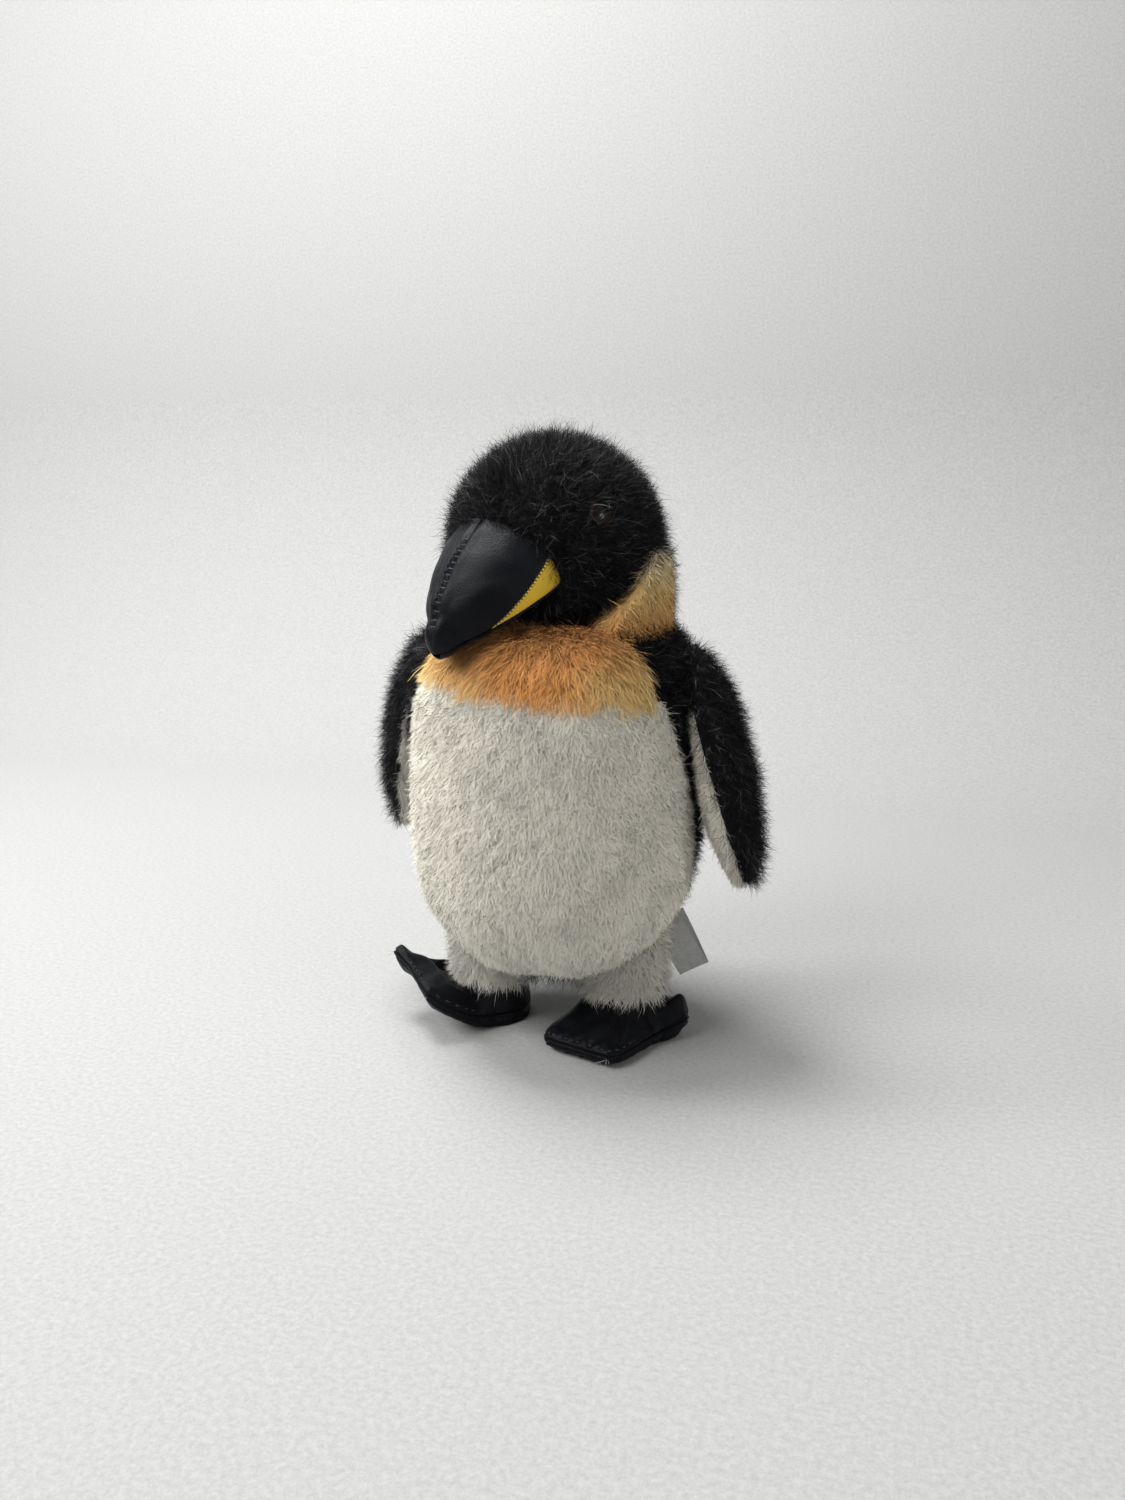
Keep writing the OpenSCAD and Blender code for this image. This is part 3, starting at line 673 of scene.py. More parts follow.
def belly_parts(skin, panels, pile, comb):
    """The belly's pile is dense, so it is made as five pieces that meet edge to edge."""
    number = panels.index("belly_panel")
    skin = lumpy(lumpy(skin, 0.5 * MM, 0.008, 31), 0.25 * MM, 0.004, 33)
    middle = skin.points[skin.quads].mean(1) - BODY_AXIS
    around = np.degrees(np.arctan2(middle[:, 0], -middle[:, 1]))
    for part, (low, high) in enumerate(zip(BELLY_CUTS, BELLY_CUTS[1:])):
        inside = (skin.panel == number) & (around >= low) & (around < high)
        cut = skin._replace(panel=np.where(inside, number, -1))
        piece = pelt(cut, panels, "belly_panel", pile, comb, 150 + part, grow=near_legs,
                     name=f"belly_plush_{part}")
        finish_piece(piece, "torso")


def make_head():
    panels = ["head_gusset", "head_side_left", "head_side_right", "chin_panel"]
    skin = wrap(panels, HEAD_CENTRE, HEAD_CENTRE, 90, 130, 0.08, soften=1)
    for number, panel in enumerate(panels):
        piece = pelt(skin, panels, panel, HEAD_PILE, comb_head, 200 + number, keep=clear_of_eyes)
        finish_piece(piece, "head")


RIM_LEAN = math.radians(44.5)
RIM_DEPTH, RIM_ROLL = 4.6 * MM, 0.6 * MM


def rimmed(skin, rows, cols, steps=6):
    """The collar's skin rolled over its leaning rim, inwards to the head."""
    normal = nodded_and_turned(UP, RIM_LEAN)
    grid = skin.points.reshape(rows, cols, 3)
    label = np.full(len(skin.points), -1)
    label[skin.quads.ravel()] = np.repeat(skin.panel, 4)
    label = label.reshape(rows, cols)
    top = np.array([max(np.flatnonzero(label[:, j] >= 0), default=-1) for j in range(cols)])
    points, panel, uv = [], [], []
    for k in range(steps):
        share = k / (steps - 1)
        for j in range(cols):
            edge = grid[top[j], j]
            inward = flat_on(HEAD_CENTRE - edge, normal)
            points.append(edge + inward * RIM_DEPTH * share + normal * RIM_ROLL * math.sin(math.pi * share))
            panel.append(label[top[j], j] if top[j] >= 0 else -1)
            uv.append(skin.uv.reshape(rows, cols, 2)[top[j], j])
    points, panel = np.array(points), np.array(panel)
    quads = grid_quads(steps, cols, True)
    quads = quads[(panel[quads] >= 0).all(1)]
    normals = unit(0.75 * normal + 0.45 * unit(points - HEAD_CENTRE))
    rim = (points, normals, uv, quads + len(skin.points), panel[quads[:, 0]])
    return Skin(*(np.concatenate(pair) for pair in zip(skin, rim)))


def make_collar():
    panels = ["neck_patch_left", "neck_patch_right", "nape_panel"]
    low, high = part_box("nape_panel")
    rows, cols = 26, 150
    bottom, top = BODY_AXIS + (low[2] + 0.5 * MM) * UP, BODY_AXIS + (high[2] - 0.5 * MM) * UP
    skin = wrap(panels, bottom, top, rows, cols, 0.09, ends=False, soften=0)
    skin = rimmed(skin, rows, cols)
    for number, panel in enumerate(panels):
        pile = LONG_BLACK if panel == "nape_panel" else PATCH_PILE
        finish_piece(pelt(skin, panels, panel, pile, comb_down, 300 + number), "neck")


def make_cuff(side):
    panel = "leg_cuff_" + side
    low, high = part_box(panel)
    x, y = (low[0] + high[0]) / 2, (low[1] + high[1]) / 2
    bottom, top = (x, y, low[2] + 0.3 * MM), (x, y, high[2] - 0.5 * MM)
    skin = wrap([panel], bottom, top, 26, 80, 0.035, ends=False, soften=0)
    finish_piece(pelt(skin, [panel], panel, CUFF_PILE, comb_down, 400), "torso")


FILLING_SHARE = 0.8


def inner_filling(name, skin, start, end, node):
    """Loose filling in the skin's own shape, drawn in towards the line from start to end."""
    axis = start + np.clip(share_along(skin.points, start, end), 0, 1)[:, None] * (end - start)
    used, back = np.unique(skin.quads, return_inverse=True)
    points = (axis + (skin.points - axis) * FILLING_SHARE)[used]
    piece = mesh_piece(name, points, quads_to_tris(back.reshape(skin.quads.shape)), FIBRE)
    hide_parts(node)
    return piece


def bending(pieces):
    """Applies each piece's placement to its mesh points."""
    for piece in pieces:
        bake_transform(piece)


def rounded_root(skin, shoulder, tip):
    """The flipper's skin drawn in towards its shoulder seam."""
    along = share_along(skin.points, shoulder, tip)
    axis = shoulder + along[:, None] * (tip - shoulder)
    narrowest, start, length = 0.45, 0.01, 0.15
    width = narrowest + (1 - narrowest) * np.sqrt(np.clip((along - start) / length, 0, 1))
    return skin._replace(points=axis + (skin.points - axis) * width[:, None])


def make_flipper(side):
    panels = ["flipper_outer_" + side, "flipper_inner_" + side]
    shoulder = joint_place(f"flipper_{side}_raise")
    corners = cad_corners(panels[0])
    away = np.linalg.norm(corners - shoulder, axis=1)
    tip = corners[away > away.max() - 2.5 * MM].mean(0)
    arm = tip - shoulder
    start, end = shoulder + 0.12 * arm, shoulder + 0.9 * arm
    skin = wrap(panels, start, end, 110, 110, 0.05, soften=4, mend=True)
    skin = rounded_root(skin._replace(points=skin.points + 0.2 * MM * skin.normals), shoulder, tip)
    skin = lumpy(skin, 0.6 * MM, 0.03, 9)
    piles = (FLIPPER_PILE, SHORT_WHITE._replace(colour=inner_fibres(shoulder, tip)))
    pieces = [inner_filling("flipper_filling_" + side, skin, start, end, "flipper_stuffing_" + side)]
    comb = comb_towards(tip + arm)
    pieces += [pelt(skin, panels, panel, pile, comb, 500) for panel, pile in zip(panels, piles)]
    bending(pieces)


def make_tail():
    panels = ["tail_upper", "tail_lower"]
    root = joint_place("tail_lift")
    corners = cad_corners("tail_upper")
    tip = corners[corners[:, 1] > corners[:, 1].max() - 2 * MM].mean(0)
    reach = tip - root
    start, end = root + 0.1 * reach, root + 0.8 * reach
    skin = wrap(panels, start, end, 40, 60, 0.04, soften=3, mend=True)
    pieces = [inner_filling("tail_filling", skin, start, end, "tail_stuffing")]
    pieces += [pelt(skin, panels, panel, TAIL_PILE, comb_towards(tip + 2 * reach), 600) for panel in panels]
    bending(pieces)


# ---------- Sewn leatherette: shells, thread and piping ----------

def shell(name, outer, inner, material, around=False, flip=False):
    """A closed skin between two grids of points, outer and inner, in metres."""
    rows, cols = outer.shape[:2]
    count = rows * cols
    quads = grid_quads(rows, cols, around)
    rims = []
    for j in range(cols if around else cols - 1):
        k = (j + 1) % cols
        top = (rows - 1) * cols
        rims += [[j, j + count, k + count, k], [top + j, top + k, top + k + count, top + j + count]]
    if not around:
        for i in range(rows - 1):
            a, b = i * cols, (i + 1) * cols
            c, d = a + cols - 1, b + cols - 1
            rims += [[a, b, b + count, a + count], [c, c + count, d + count, d]]
    faces = np.concatenate([quads, quads[:, ::-1] + count, np.array(rims)])
    if flip:
        faces = faces[:, ::-1]
    verts = np.concatenate([outer.reshape(-1, 3), inner.reshape(-1, 3)])
    return mesh_piece(name, verts, quads_to_tris(faces), material)


def tubes(name, lines, radius, material, sides=6):
    """Thread or piping along each line of points, with closed ends."""
    verts, faces = [], []
    for line in lines:
        line = np.asarray(line, float)
        ahead = unit(np.gradient(line, axis=0))
        first = unit(np.cross(ahead, [0.31, 0.17, 0.94]))
        second = np.cross(ahead, first)
        start = len(verts)
        for k in range(len(line)):
            for j in range(sides):
                turn = FULL_TURN * j / sides
                verts.append(line[k] + radius * (first[k] * math.cos(turn) + second[k] * math.sin(turn)))
        ring = grid_quads(len(line), sides, True) + start
        faces += quads_to_tris(ring).tolist()
        last = start + (len(line) - 1) * sides
        faces += [[start, start + j + 1, start + j] for j in range(1, sides - 1)]
        faces += [[last, last + j, last + j + 1] for j in range(1, sides - 1)]
    return mesh_piece(name, verts, faces, material)


# ---------- Beak ----------

# Millimetres in the beak's own frame: -Y runs from the middle of the head to the tip.
BEAK_ROOT, BEAK_REACH = 28.0, 85.0
BEAK_HALF_WIDTH, BEAK_RISE, MOUTH_HEIGHT = 34.0, 29.5, 7.0
MOUTH_DROOP = math.radians(9.6)
STRIP_ANGLE, STRIP_END = 24.0, 0.64
PANEL_GAP = 0.25
HEAD_RADIUS = 46.5
VINYL = 1.2
STITCH_PITCH = 2.8
JAW_SAG = 2.4
FIRST_GUESS = 38.0    # where a line along the beak leaves the head, before it is worked out


def beak_to_world(points):
    return nodded_and_turned(points * MM, FACE_DOWN + MOUTH_DROOP) + HEAD_CENTRE


def beak_profile(s):
    """Half the width and the height of the upper beak; a blunt lobe follows a slight pinch at its tip."""
    share = np.clip((s - BEAK_ROOT) / (BEAK_REACH - BEAK_ROOT), 0, 1)
    lobe = bell(s, BEAK_REACH - 3, 3)
    pinch = 1 - 0.09 * bell(s, BEAK_REACH - 10, 3)
    width = BEAK_HALF_WIDTH * (1 - share ** 1.5) ** 0.78 * pinch + 2.0 * lobe
    height = BEAK_RISE * (1 - share ** 1.7) ** 0.62 * pinch + 1.0 * lobe
    return np.maximum(width, 0.4), np.maximum(height, 0.4)


def beak_point(s, v, side, lift):
    """A point of the upper beak, s along it and v degrees up from the mouth line."""
    width, height = beak_profile(s)
    c, k = np.cos(np.radians(v)), np.sin(np.radians(v))
    out = unit(np.stack([c / width, 0 * c, k / height], -1))
    point = np.stack([width * c, -s, MOUTH_HEIGHT + height * k], -1) + out * np.asarray(lift)[..., None]
    return point * np.array([side, 1, 1])


def leaving_head(x, z):
    """How far along the beak the head's round surface is, for a line at x and z."""
    return np.sqrt(np.maximum(HEAD_RADIUS ** 2 - x ** 2 - z ** 2, 100))


def beak_start(v):
    """Where a line along the beak leaves the head."""
    s = np.full_like(v, FIRST_GUESS)
    for _ in range(3):
        point = beak_point(s, v, 1, -VINYL + 0 * v)
        s = leaving_head(point[..., 0], point[..., 2])
    return s


def along_beak(v, share):
    """How far along the beak a share of the way from the head to the tip is, at v degrees."""
    start = beak_start(v)
    return start + (BEAK_REACH - 0.1 - start) * share


def strip_edge(u):
    return STRIP_ANGLE * np.maximum(1 - u / STRIP_END, 0)


def ridge_relief(s, v):
    """The sewn ridge: a valley between two padded shoulders, pricked by the needle."""
    width, _ = beak_profile(s)
    aside = np.radians(90 - v) * width
    middle = np.clip((s - 40) / 8, 0, 1) * np.clip((84 - s) / 6, 0, 1)
    valley = -1.35 * bell(aside, 0, 1.25) * (0.35 + 0.65 * middle)
    shoulder = 0.55 * bell(aside, 3.4, 2.2)
    prick = -0.9 * bell(aside, 1.5, 0.5) * np.cos(math.pi * s / STITCH_PITCH) ** 4 * middle
    return valley + shoulder + prick


def beak_relief(s, v, side):
    """Ridge, padding and soft dents, in millimetres off the smooth shape."""
    flat = np.stack([s * 1.0, v * 0.5, 7.0 * side + 0 * s], -1)
    dents = ripples(flat.reshape(-1, 3), 14, 31)[0].reshape(s.shape)
    width, _ = beak_profile(s)
    return (ridge_relief(s, v) + 0.22 * dents) * np.clip(width / 9, 0, 1)


def beak_grids(side, low, high, rows, cols, u_end=1.0, even=False):
    """Outer and inner grids of one panel; low and high are its edges in degrees at each u."""
    u, share = over_grid(u_end * (1 - (1 - np.linspace(0, 1, rows)) ** 1.4), np.linspace(0, 1, cols))
    share = share if even else np.sin(share * math.pi / 2)
    v = low(u) + (high(u) - low(u)) * share
    s = along_beak(v, u)
    relief = beak_relief(s, v, side)
    outer = beak_to_world(beak_point(s, v, side, relief))
    inner = beak_to_world(beak_point(s, v, side, relief - VINYL))
    return outer, inner


def beak_filling():
    """The stuffing that rounds the beak out, a little inside its skin."""
    inset = VINYL + 1.2
    s, v = over_grid(np.linspace(46, BEAK_REACH - 7, 24), np.linspace(6, 174, 40))
    folded = np.minimum(v, 180 - v)
    top = beak_to_world(beak_point(s, v, 1, beak_relief(s, folded, 1) - inset))
    bottom = beak_point(s, v, 1, 0 * v - inset)
    bottom[..., 2] = MOUTH_HEIGHT + 0.6
    return shell("beak_filling", top, beak_to_world(bottom), FIBRE, flip=True)


def jaw_grid(drop):
    """The underside, sagging below the mouth line, with a slight wave along it."""
    u, v = over_grid(np.linspace(0, 1, 70), np.radians(np.linspace(0, 180, 40)))
    s = np.full_like(u, FIRST_GUESS)
    for _ in range(3):
        x = (beak_profile(s)[0] - 0.3) * np.cos(v)
        z = MOUTH_HEIGHT - 1.4 - JAW_SAG * np.sin(v)
        start = leaving_head(x, z)
        s = start + (BEAK_REACH - 1 - start) * u
    x = (beak_profile(s)[0] - 0.3) * np.cos(v)
    z = MOUTH_HEIGHT - drop - JAW_SAG * np.sin(v) + 0.25 * np.sin(s * 0.9)
    return beak_to_world(np.stack([x, -s, z], -1))


def ridge_stitches():
    """Threads across the ridge's valley, one at every pitch."""
    lines = []
    for s in np.arange(42, BEAK_REACH - 6, STITCH_PITCH):
        width, _ = beak_profile(s)
        v = 90 + np.degrees(np.linspace(-1.7, 1.7, 7) / width)
        folded = np.minimum(v, 180 - v)
        lift = ridge_relief(s + 0 * v, folded) + 0.16
        lines.append(beak_to_world(beak_point(s + 0 * v, v, 1, lift)))
    return lines


def strip_stitches(side):
    """Overcast stitches along the upper edge of the yellow strip."""
    lines = []
    for u in np.arange(0.012, STRIP_END - 0.03, 0.026):
        v = strip_edge(u) + np.array([1.1, 0.3, -0.6, -1.5])
        s = along_beak(v, u + np.array([0.012, 0.008, 0.003, 0.0]))
        lines.append(beak_to_world(beak_point(s, v, side, beak_relief(s, v, side) + 0.14)))
    return lines


def make_beak():
    for side, name in ((1, "left"), (-1, "right")):
        grids = beak_grids(side, lambda u: strip_edge(u) + PANEL_GAP, lambda u: 89.7 + 0 * u, 150, 56)
        upper = shell("beak_half_" + name, *grids, BLACK_LEATHERETTE, flip=side > 0)
        finish_piece(upper, "head", "beak_upper_" + name)
        grids = beak_grids(side, lambda u: 0 * u, lambda u: strip_edge(u) - PANEL_GAP, 60, 10,
                           u_end=0.97 * STRIP_END, even=True)
        strip = shell("beak_stripe_" + name, *grids, YELLOW_LEATHERETTE, flip=side > 0)
        finish_piece(strip, "head", "beak_strip_" + name)
        stitches = tubes("stripe_stitches_" + name, strip_stitches(side), 0.3 * MM, THREAD)
        finish_piece(stitches, "head")
    jaw = shell("beak_underside", jaw_grid(1.4), jaw_grid(0.2), BLACK_LEATHERETTE)
    finish_piece(jaw, "head", "lower_jaw")
    finish_piece(beak_filling(), "head", "beak_stuffing")
    stitches = tubes("ridge_thread", ridge_stitches(), 0.26 * MM, THREAD)
    finish_piece(stitches, "head", stands_for="ridge_stitches")


# ---------- Feet ----------

# Degrees outwards from straight ahead, and the foot's reach there from the ankle in millimetres
FOOT_OUTLINE = [(-180, 18), (-145, 18), (-110, 18.5), (-85, 20), (-68, 26), (-54, 36), (-45, 44), (-39, 46.5),
                (-33, 45.2), (-22, 43.6), (-12, 43.6), (-1, 45.6), (5, 47), (11, 44.6), (20, 37.5), (32, 31),
                (46, 27.5), (58, 27.5), (68, 31), (76, 34), (86, 34.2), (96, 32), (106, 27), (120, 20.5),
                (145, 18.4), (180, 18)]
ANKLE_RADIUS, ANKLE_TOP, SEAM_HEIGHT, LIP_HEIGHT = 16.5, 23.0, 6.0, 3.6
FOLD_AT, FOLD_SOFTNESS = 10.0, 8.0
RIGHT_TOE_LIFT, RIGHT_FOOT_TURN = math.radians(35), math.radians(66)
OUTER_TOE, MIDDLE_TOE, INNER_TOE = 82.0, 4.0, -37.0
# Valleys from the ankle to the middle toe and the webs: where and how wide in degrees, depth in millimetres
FOLDS = [(11, 5.5, 3.6), (50, 8, 2.4), (-64, 9, 1.5)]
# Padding at the toes' ends: where and how wide in degrees, where and how long as shares of the reach,
# and its height on the left and the right foot in millimetres
TOE_BALLS = [(OUTER_TOE, 20, 0.74, 0.24, 5.0, 5.0), (MIDDLE_TOE, 7, 0.88, 0.1, 1.0, 3.0),
             (INNER_TOE, 8, 0.88, 0.1, 0.8, 2.0)]


def from_ankle(reach, angle):
    """Sideways and forward distances of a point that far from the ankle."""
    return reach * np.sin(np.radians(angle)), reach * np.cos(np.radians(angle))


def foot_rise(side, angle, share, forward):
    """How far a point is raised: the outer toe stands up, and the right foot's toes curl up."""
    outer = (9.5 if side > 0 else 3.0) * bell(angle, OUTER_TOE, 17) * share ** 1.4
    outer = outer * (1 - 0.5 * np.clip((share - 0.75) / 0.25, 0, 1) ** 2)
    if side > 0:
        return outer
    past = forward - FOLD_AT
    curl = (past + np.sqrt(past ** 2 + FOLD_SOFTNESS ** 2)) / 2 * math.tan(RIGHT_TOE_LIFT) - 0.6
    return outer + curl * np.minimum((2 * share) ** 1.5, 1)


def foot_folds(angle, share):
    fade = np.sin(math.pi * np.clip(share, 0, 1) ** 0.8) ** 0.7
    return -fade * sum(depth * bell(angle, at, spread) for at, spread, depth in FOLDS)


def toe_balls(angle, share, side):
    balls = sum((left if side > 0 else right) * bell(angle, at, spread) * bell(share, out, length)
                for at, spread, out, length, left, right in TOE_BALLS)
    return balls * np.sqrt(np.clip(1 - share ** 8, 0, 1))


def foot_edge(side, angle, share):
    """Distance from the ankle's middle: the sewn edge sits in a groove between two lips."""
    longer = 4.0 * bell(angle, 3, 7) if side < 0 else 0.0
    reach = np.interp(angle, *zip(*FOOT_OUTLINE)) + longer
    return ANKLE_RADIUS + (reach - ANKLE_RADIUS) * share - 0.9 * bell(share, 1, 0.02)


def foot_grid(side, sole, inset=0.0, rows=56, cols=240):
    """The upper or the sole, from the ankle or the middle out to the sewn edge."""
    turn, angle = over_grid(np.linspace(0, math.pi / 2, rows), np.linspace(-180, 180, cols, endpoint=False))
    share = np.sin(turn)
    reach = foot_edge(side, angle, share) - inset
    if sole:
        reach = (foot_edge(side, angle, np.maximum(share, 0.7)) - inset) * np.minimum(share / 0.7, 1)
    aside, forward = from_ankle(reach, angle)
    rise = foot_rise(side, angle, share, forward)
    flat = np.stack([aside, forward, 5.0 * side + 0 * angle], -1).reshape(-1, 3)
    dents, gathers = (0.4 * ripples(flat, length, seed)[0].reshape(angle.shape)
                      for length, seed in ((13, 43), (4, 45)))
    gathers = gathers * bell(share, 0.9, 0.08)
    rounded_from = 0.58 if sole else 0.80
    lip = np.sqrt(1 - np.clip((share - rounded_from) / (1 - rounded_from), 0, 1) ** 2)
    balls = toe_balls(angle, share, side)
    if sole:
        height = SEAM_HEIGHT * (1 - lip) - np.minimum(0.9 * balls, 0.8 * rise) + inset * (1 - share ** 8)
        height += gathers
    else:
        slope = (ANKLE_TOP - SEAM_HEIGHT - LIP_HEIGHT) * np.clip(1 - share / 0.92, 0, 1) ** 1.15
        height = SEAM_HEIGHT + LIP_HEIGHT * lip + slope + foot_folds(angle, share) + balls + gathers
        height += dents * np.sin(math.pi * np.clip(share, 0, 1)) - inset * (1 - share ** 8)
    return np.stack([aside, -forward, height + rise], -1)


def foot_to_world(points, side):
    pivot = joint_place("foot_left_swivel" if side > 0 else "foot_right_swivel")
    points = points * np.array([side, 1, 1]) * MM
    if side < 0:
        points = turned_about(points, UP, -RIGHT_FOOT_TURN)
    return points + pivot * (1, 1, 0)


def foot_skin(name, side, sole):
    grid = foot_to_world(foot_grid(side, sole), side)
    quads = grid_quads(*grid.shape[:2], True)
    if (side > 0) == sole:
        quads = quads[:, ::-1]
    return mesh_piece(name, grid.reshape(-1, 3), quads_to_tris(quads), BLACK_LEATHERETTE)


def seam_line(side, rise, inward, count=400):
    """The foot's sewn edge, or a line that runs beside it."""
    angle = np.linspace(-180, 180, count, endpoint=False)
    reach = foot_edge(side, angle, np.ones(count)) + 0.25 - inward
    aside, forward = from_ankle(reach, angle)
    z = SEAM_HEIGHT + rise + foot_rise(side, angle, np.ones(count), forward)
    return foot_to_world(np.stack([aside, -forward, z], -1), side)


def loose_ends(seam, angle, along, seed):
    """Three thread ends that stand off the seam at the angle."""
    start = seam[int((angle + 180) / 360 * len(seam))]
    rng = np.random.default_rng(seed)
    lines = []
    for _ in range(3):
        direction = unit(along + 0.5 * rng.normal(size=3))
        bend = rng.normal(size=3)
        t = np.linspace(0, 1, 6)[:, None]
        lines.append(start + 4.5 * MM * (direction * t + 0.3 * bend * t * t))
    return lines


def make_foot(side, name):
    body = "foot_" + name
    for part, stands_for, sole in (("upper", "foot_upper_", False), ("sole", "sole_", True)):
        piece = foot_skin(f"slipper_{part}_{name}", side, sole)
        finish_piece(piece, body, stands_for + name)
    pad = [foot_to_world(foot_grid(side, sole, 2.0, 20, 60), side) for sole in (False, True)]
    filling = shell("slipper_filling_" + name, *pad, FIBRE, around=True, flip=side < 0)
    finish_piece(filling, body, "foot_stuffing_" + name)
    seam = seam_line(side, 0.0, 0.0)
    closed = np.concatenate([seam, seam[:1]])
    piping = tubes("slipper_piping_" + name, [closed], 0.6 * MM, BLACK_LEATHERETTE, sides=8)
    finish_piece(piping, body)
    top = seam_line(side, LIP_HEIGHT * 0.82 + 0.25, 1.6)
    stitches = [top[i:i + 3] for i in range(0, len(top) - 3, 5)]
    if side > 0:
        ends = loose_ends(seam, 5, np.array([0, -1.0, -0.1]), 51)
    else:
        ends = loose_ends(seam, 5, np.array([-1.0, 0.1, -0.2]), 51)
        ends += loose_ends(seam, -39, np.array([-0.2, -0.6, -0.6]), 52)[:1]
    finish_piece(tubes("slipper_topstitch_" + name, stitches, 0.25 * MM, THREAD), body)
    finish_piece(tubes("thread_ends_" + name, ends, 0.12 * MM, PALE_THREAD), body)


# ---------- Eyes ----------

EYE_AZIMUTH, EYE_HEIGHT = math.radians(80), math.radians(26)
EYE_SEAT, EYE_RADIUS, EYE_DOME = 44.4, 5.4, 3.4    # millimetres; the seat is measured from the head's middle
AMBER_RING, AMBER_WIDTH = 4.4, 0.45
PUPIL_COLOUR, AMBER = np.array([[0.004, 0.003, 0.003]]), np.array([[0.20, 0.055, 0.006]])
FUR_CLEARANCE = 1.6 / 46    # radians round the middle of each eye


def eye_direction(side):
    """From the middle of the head to an eye."""
    out = np.array([side * math.sin(EYE_AZIMUTH) * math.cos(EYE_HEIGHT),
                    -math.cos(EYE_AZIMUTH) * math.cos(EYE_HEIGHT), math.sin(EYE_HEIGHT)])
    return nodded_and_turned(out, FACE_DOWN)


def make_eye(side, name):
    """A glossy dome: dark pupil, amber ring and a dark rim."""
    out = eye_direction(side)
    first = unit(np.cross(out, UP))
    second = np.cross(out, first)
    rows, cols = 26, 48
    polar, turn = over_grid(np.linspace(0.02, math.pi / 2, rows), FULL_TURN * np.arange(cols) / cols)
    radius = EYE_RADIUS * np.sin(polar)
    aside = np.cos(turn)[..., None] * first + np.sin(turn)[..., None] * second
    lift = EYE_SEAT + EYE_DOME * np.cos(polar)
    grid = HEAD_CENTRE + MM * (out * lift[..., None] + aside * radius[..., None])
    amber = bell(radius.reshape(-1, 1), AMBER_RING, AMBER_WIDTH)
    cap = np.array([[0, j, j + 1] for j in range(1, cols - 1)])
    tris = np.concatenate([quads_to_tris(grid_quads(rows, cols, True)), cap])
    piece = mesh_piece("eye_dome_" + name, grid.reshape(-1, 3), tris, EYE_GLOSS,
                       PUPIL_COLOUR * (1 - amber) + AMBER * amber)
    finish_piece(piece, "head", stands_for="eye_" + name)


def clear_of_eyes(points):
    """Which roots are far enough from both eyes."""
    away = unit(points - HEAD_CENTRE)
    return np.all([away @ eye_direction(side) < math.cos(FUR_CLEARANCE) for side in (1, -1)], axis=0)


# ---------- Care label ----------

LABEL_WIDTH, LABEL_LEAF = 16 * MM, 32 * MM
LEAVES_APART, LEAF_SHIFT, LABEL_CURL, LABEL_CUP = 2.6 * MM, 2.2 * MM, 1.6 * MM, 0.5 * MM
FOLD_ALLOWANCE = 0.985    # a bowed leaf reaches a little less far


def make_label():
    """One satin ribbon folded in half, its two leaves sprung slightly apart."""
    root = joint_place("label_swing")
    across = unit(joint_axis("label_swing"))
    along = flat_on(cad_corners("care_label").mean(0) - root, across)
    front = np.cross(along, across)
    if front[1] > 0:
        front = -front
    rows, cols = 66, 13
    way, side = over_grid(np.linspace(0, 2 * LABEL_LEAF, rows), np.linspace(-0.5, 0.5, cols))
    out = np.minimum(way, 2 * LABEL_LEAF - way)
    share = out / LABEL_LEAF
    front_leaf = way <= LABEL_LEAF
    apart = LEAVES_APART * np.sin(math.pi * share) * (1 - 0.25 * share) + 0.3 * MM
    lift = np.where(front_leaf, 1.0, -0.35) * apart + LABEL_CURL * share ** 2 + LABEL_CUP * (2 * side) ** 2
    aside = side * LABEL_WIDTH + np.where(front_leaf, 0.0, LEAF_SHIFT * (1 - share))
    parts = ((out * FOLD_ALLOWANCE, along), (aside, across), (lift, front))
    points = root + sum(distance[..., None] * direction for distance, direction in parts)
    tris = quads_to_tris(grid_quads(rows, cols, False))
    piece = mesh_piece("care_ribbon", points.reshape(-1, 3), tris, SATIN)
    finish_piece(piece, "label", stands_for="care_label")


# ---------- Inner pieces that keep their CAD shape ----------

def finish_inner_nodes():
    looks = {"stuffing": FIBRE, "neck_roll": PAINTED_SHADE_ORANGE_BACKING, "neck_plug": FIBRE, "pellet_bag": COTTON,
             "pellets": PELLET, "closing_stitches": THREAD, "eye_washers": WASHER}
    for name, node in frame["nodes"].items():
        for word, material in looks.items():
            if word in name:
                for slot in node.material_slots:
                    slot.material = material


# ---------- Camera, floor and light ----------

CAMERA_AZIMUTH, CAMERA_ELEVATION, CAMERA_DISTANCE = math.radians(16), math.radians(13), 0.575
LENS = 29.1
AIM_HEIGHT, AIM_RIGHT, AIM_DOWN = 0.142, 0.0031, 0.0024


def look_at(thing, place, target):
    thing.location = place
    thing.rotation_mode = "QUATERNION"
    thing.rotation_quaternion = (Vector(target) - Vector(place)).to_track_quat("-Z", "Y")
    bpy.context.scene.collection.objects.link(thing)


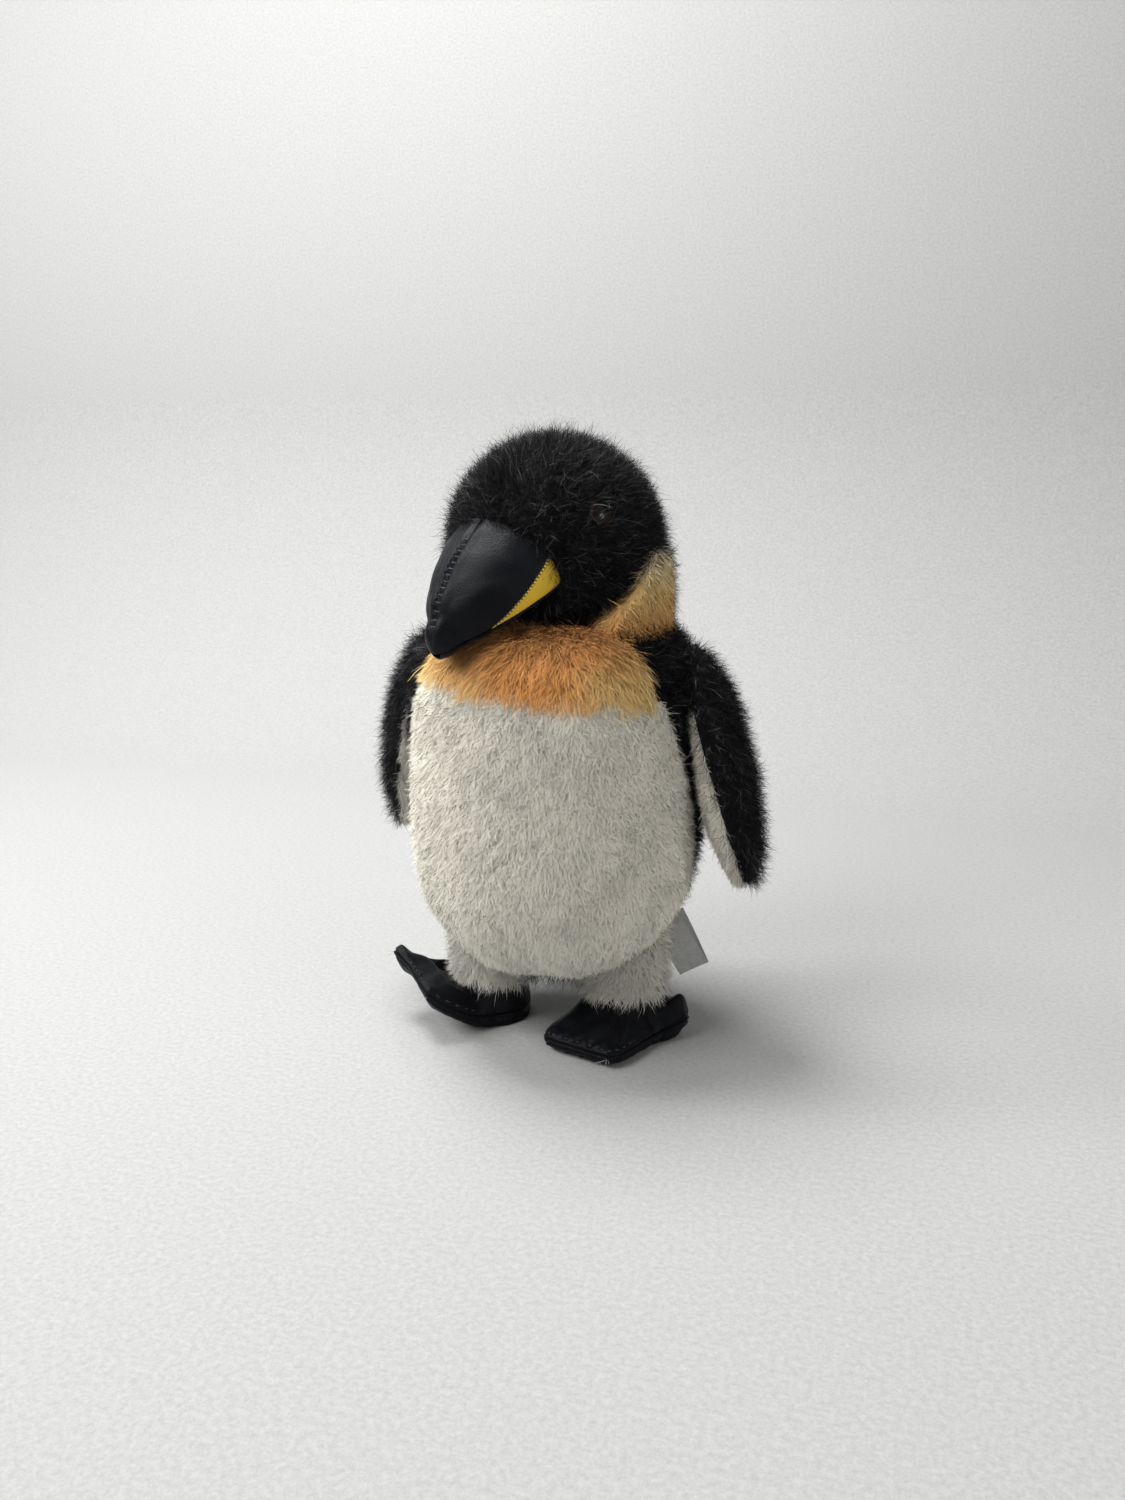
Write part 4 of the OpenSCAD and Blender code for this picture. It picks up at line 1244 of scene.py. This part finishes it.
def make_camera():
    """The view is from in front, to the penguin's left, slightly above."""
    azimuth, elevation = CAMERA_AZIMUTH, CAMERA_ELEVATION
    target = Vector(BODY_AXIS) + Vector((0, 0, AIM_HEIGHT))
    back = Vector((math.sin(azimuth) * math.cos(elevation), -math.cos(azimuth) * math.cos(elevation),
                   math.sin(elevation)))
    right = (-back).cross(Vector((0, 0, 1))).normalized()
    up = right.cross(-back)
    data = bpy.data.cameras.new("camera")
    data.sensor_width = 36
    data.lens = LENS
    camera = bpy.data.objects.new("camera", data)
    look_at(camera, target + back * CAMERA_DISTANCE, target + right * AIM_RIGHT - up * AIM_DOWN)
    bpy.context.scene.camera = camera


def make_backdrop():
    """A pale floor that curves up into a plain backdrop."""
    half, front, back, radius, height = 2.2, -1.4, 0.75, 0.35, 2.4
    profile = [(front, 0.0), (back - radius, 0.0)]
    profile += [(back - radius + radius * math.sin(a), radius - radius * math.cos(a))
                for a in np.linspace(0.1, math.pi / 2, 14)]
    profile.append((back, height))
    points = np.array([[(x, y, z) for x in (-half, half)] for y, z in profile]).reshape(-1, 3)
    piece = mesh_piece("backdrop", points, quads_to_tris(grid_quads(len(profile), 2, False)), felt_floor())


# Name, place, target, size in metres and power in watts
LIGHTS = [
    ("key", (-0.60, -0.80, 1.05), (0, 0, 0.14), 0.7, 13.5),
    ("fill", (0.95, -0.45, 0.45), (0, 0, 0.10), 0.6, 2.4),
    ("top", (-0.35, 0.10, 1.30), (0, 0, 0.1), 0.6, 23),
    ("wall", (-1.15, -0.2, 1.1), (-0.9, 0.75, 0.4), 0.6, 16),
]
WORLD_STRENGTH = 0.29


def make_light():
    world = bpy.data.worlds.new("soft_room")
    world.use_nodes = True
    feed(world.node_tree.nodes["Background"], {"Color": (1, 1, 1, 1), "Strength": WORLD_STRENGTH})
    bpy.context.scene.world = world
    bpy.context.scene.view_settings.view_transform = "Standard"
    for name, place, target, size, power in LIGHTS:
        data = bpy.data.lights.new(name, "AREA")
        data.shape = "DISK"
        data.size = size
        data.energy = power
        look_at(bpy.data.objects.new(name, data), place, target)


# ---------- Build ----------

make_camera()
make_backdrop()
make_light()
make_torso()
make_head()
make_collar()
for side in ("left", "right"):
    make_cuff(side)
    make_flipper(side)
make_tail()
make_beak()
make_foot(1, "left")
make_foot(-1, "right")
make_eye(1, "left")
make_eye(-1, "right")
make_label()
finish_inner_nodes()
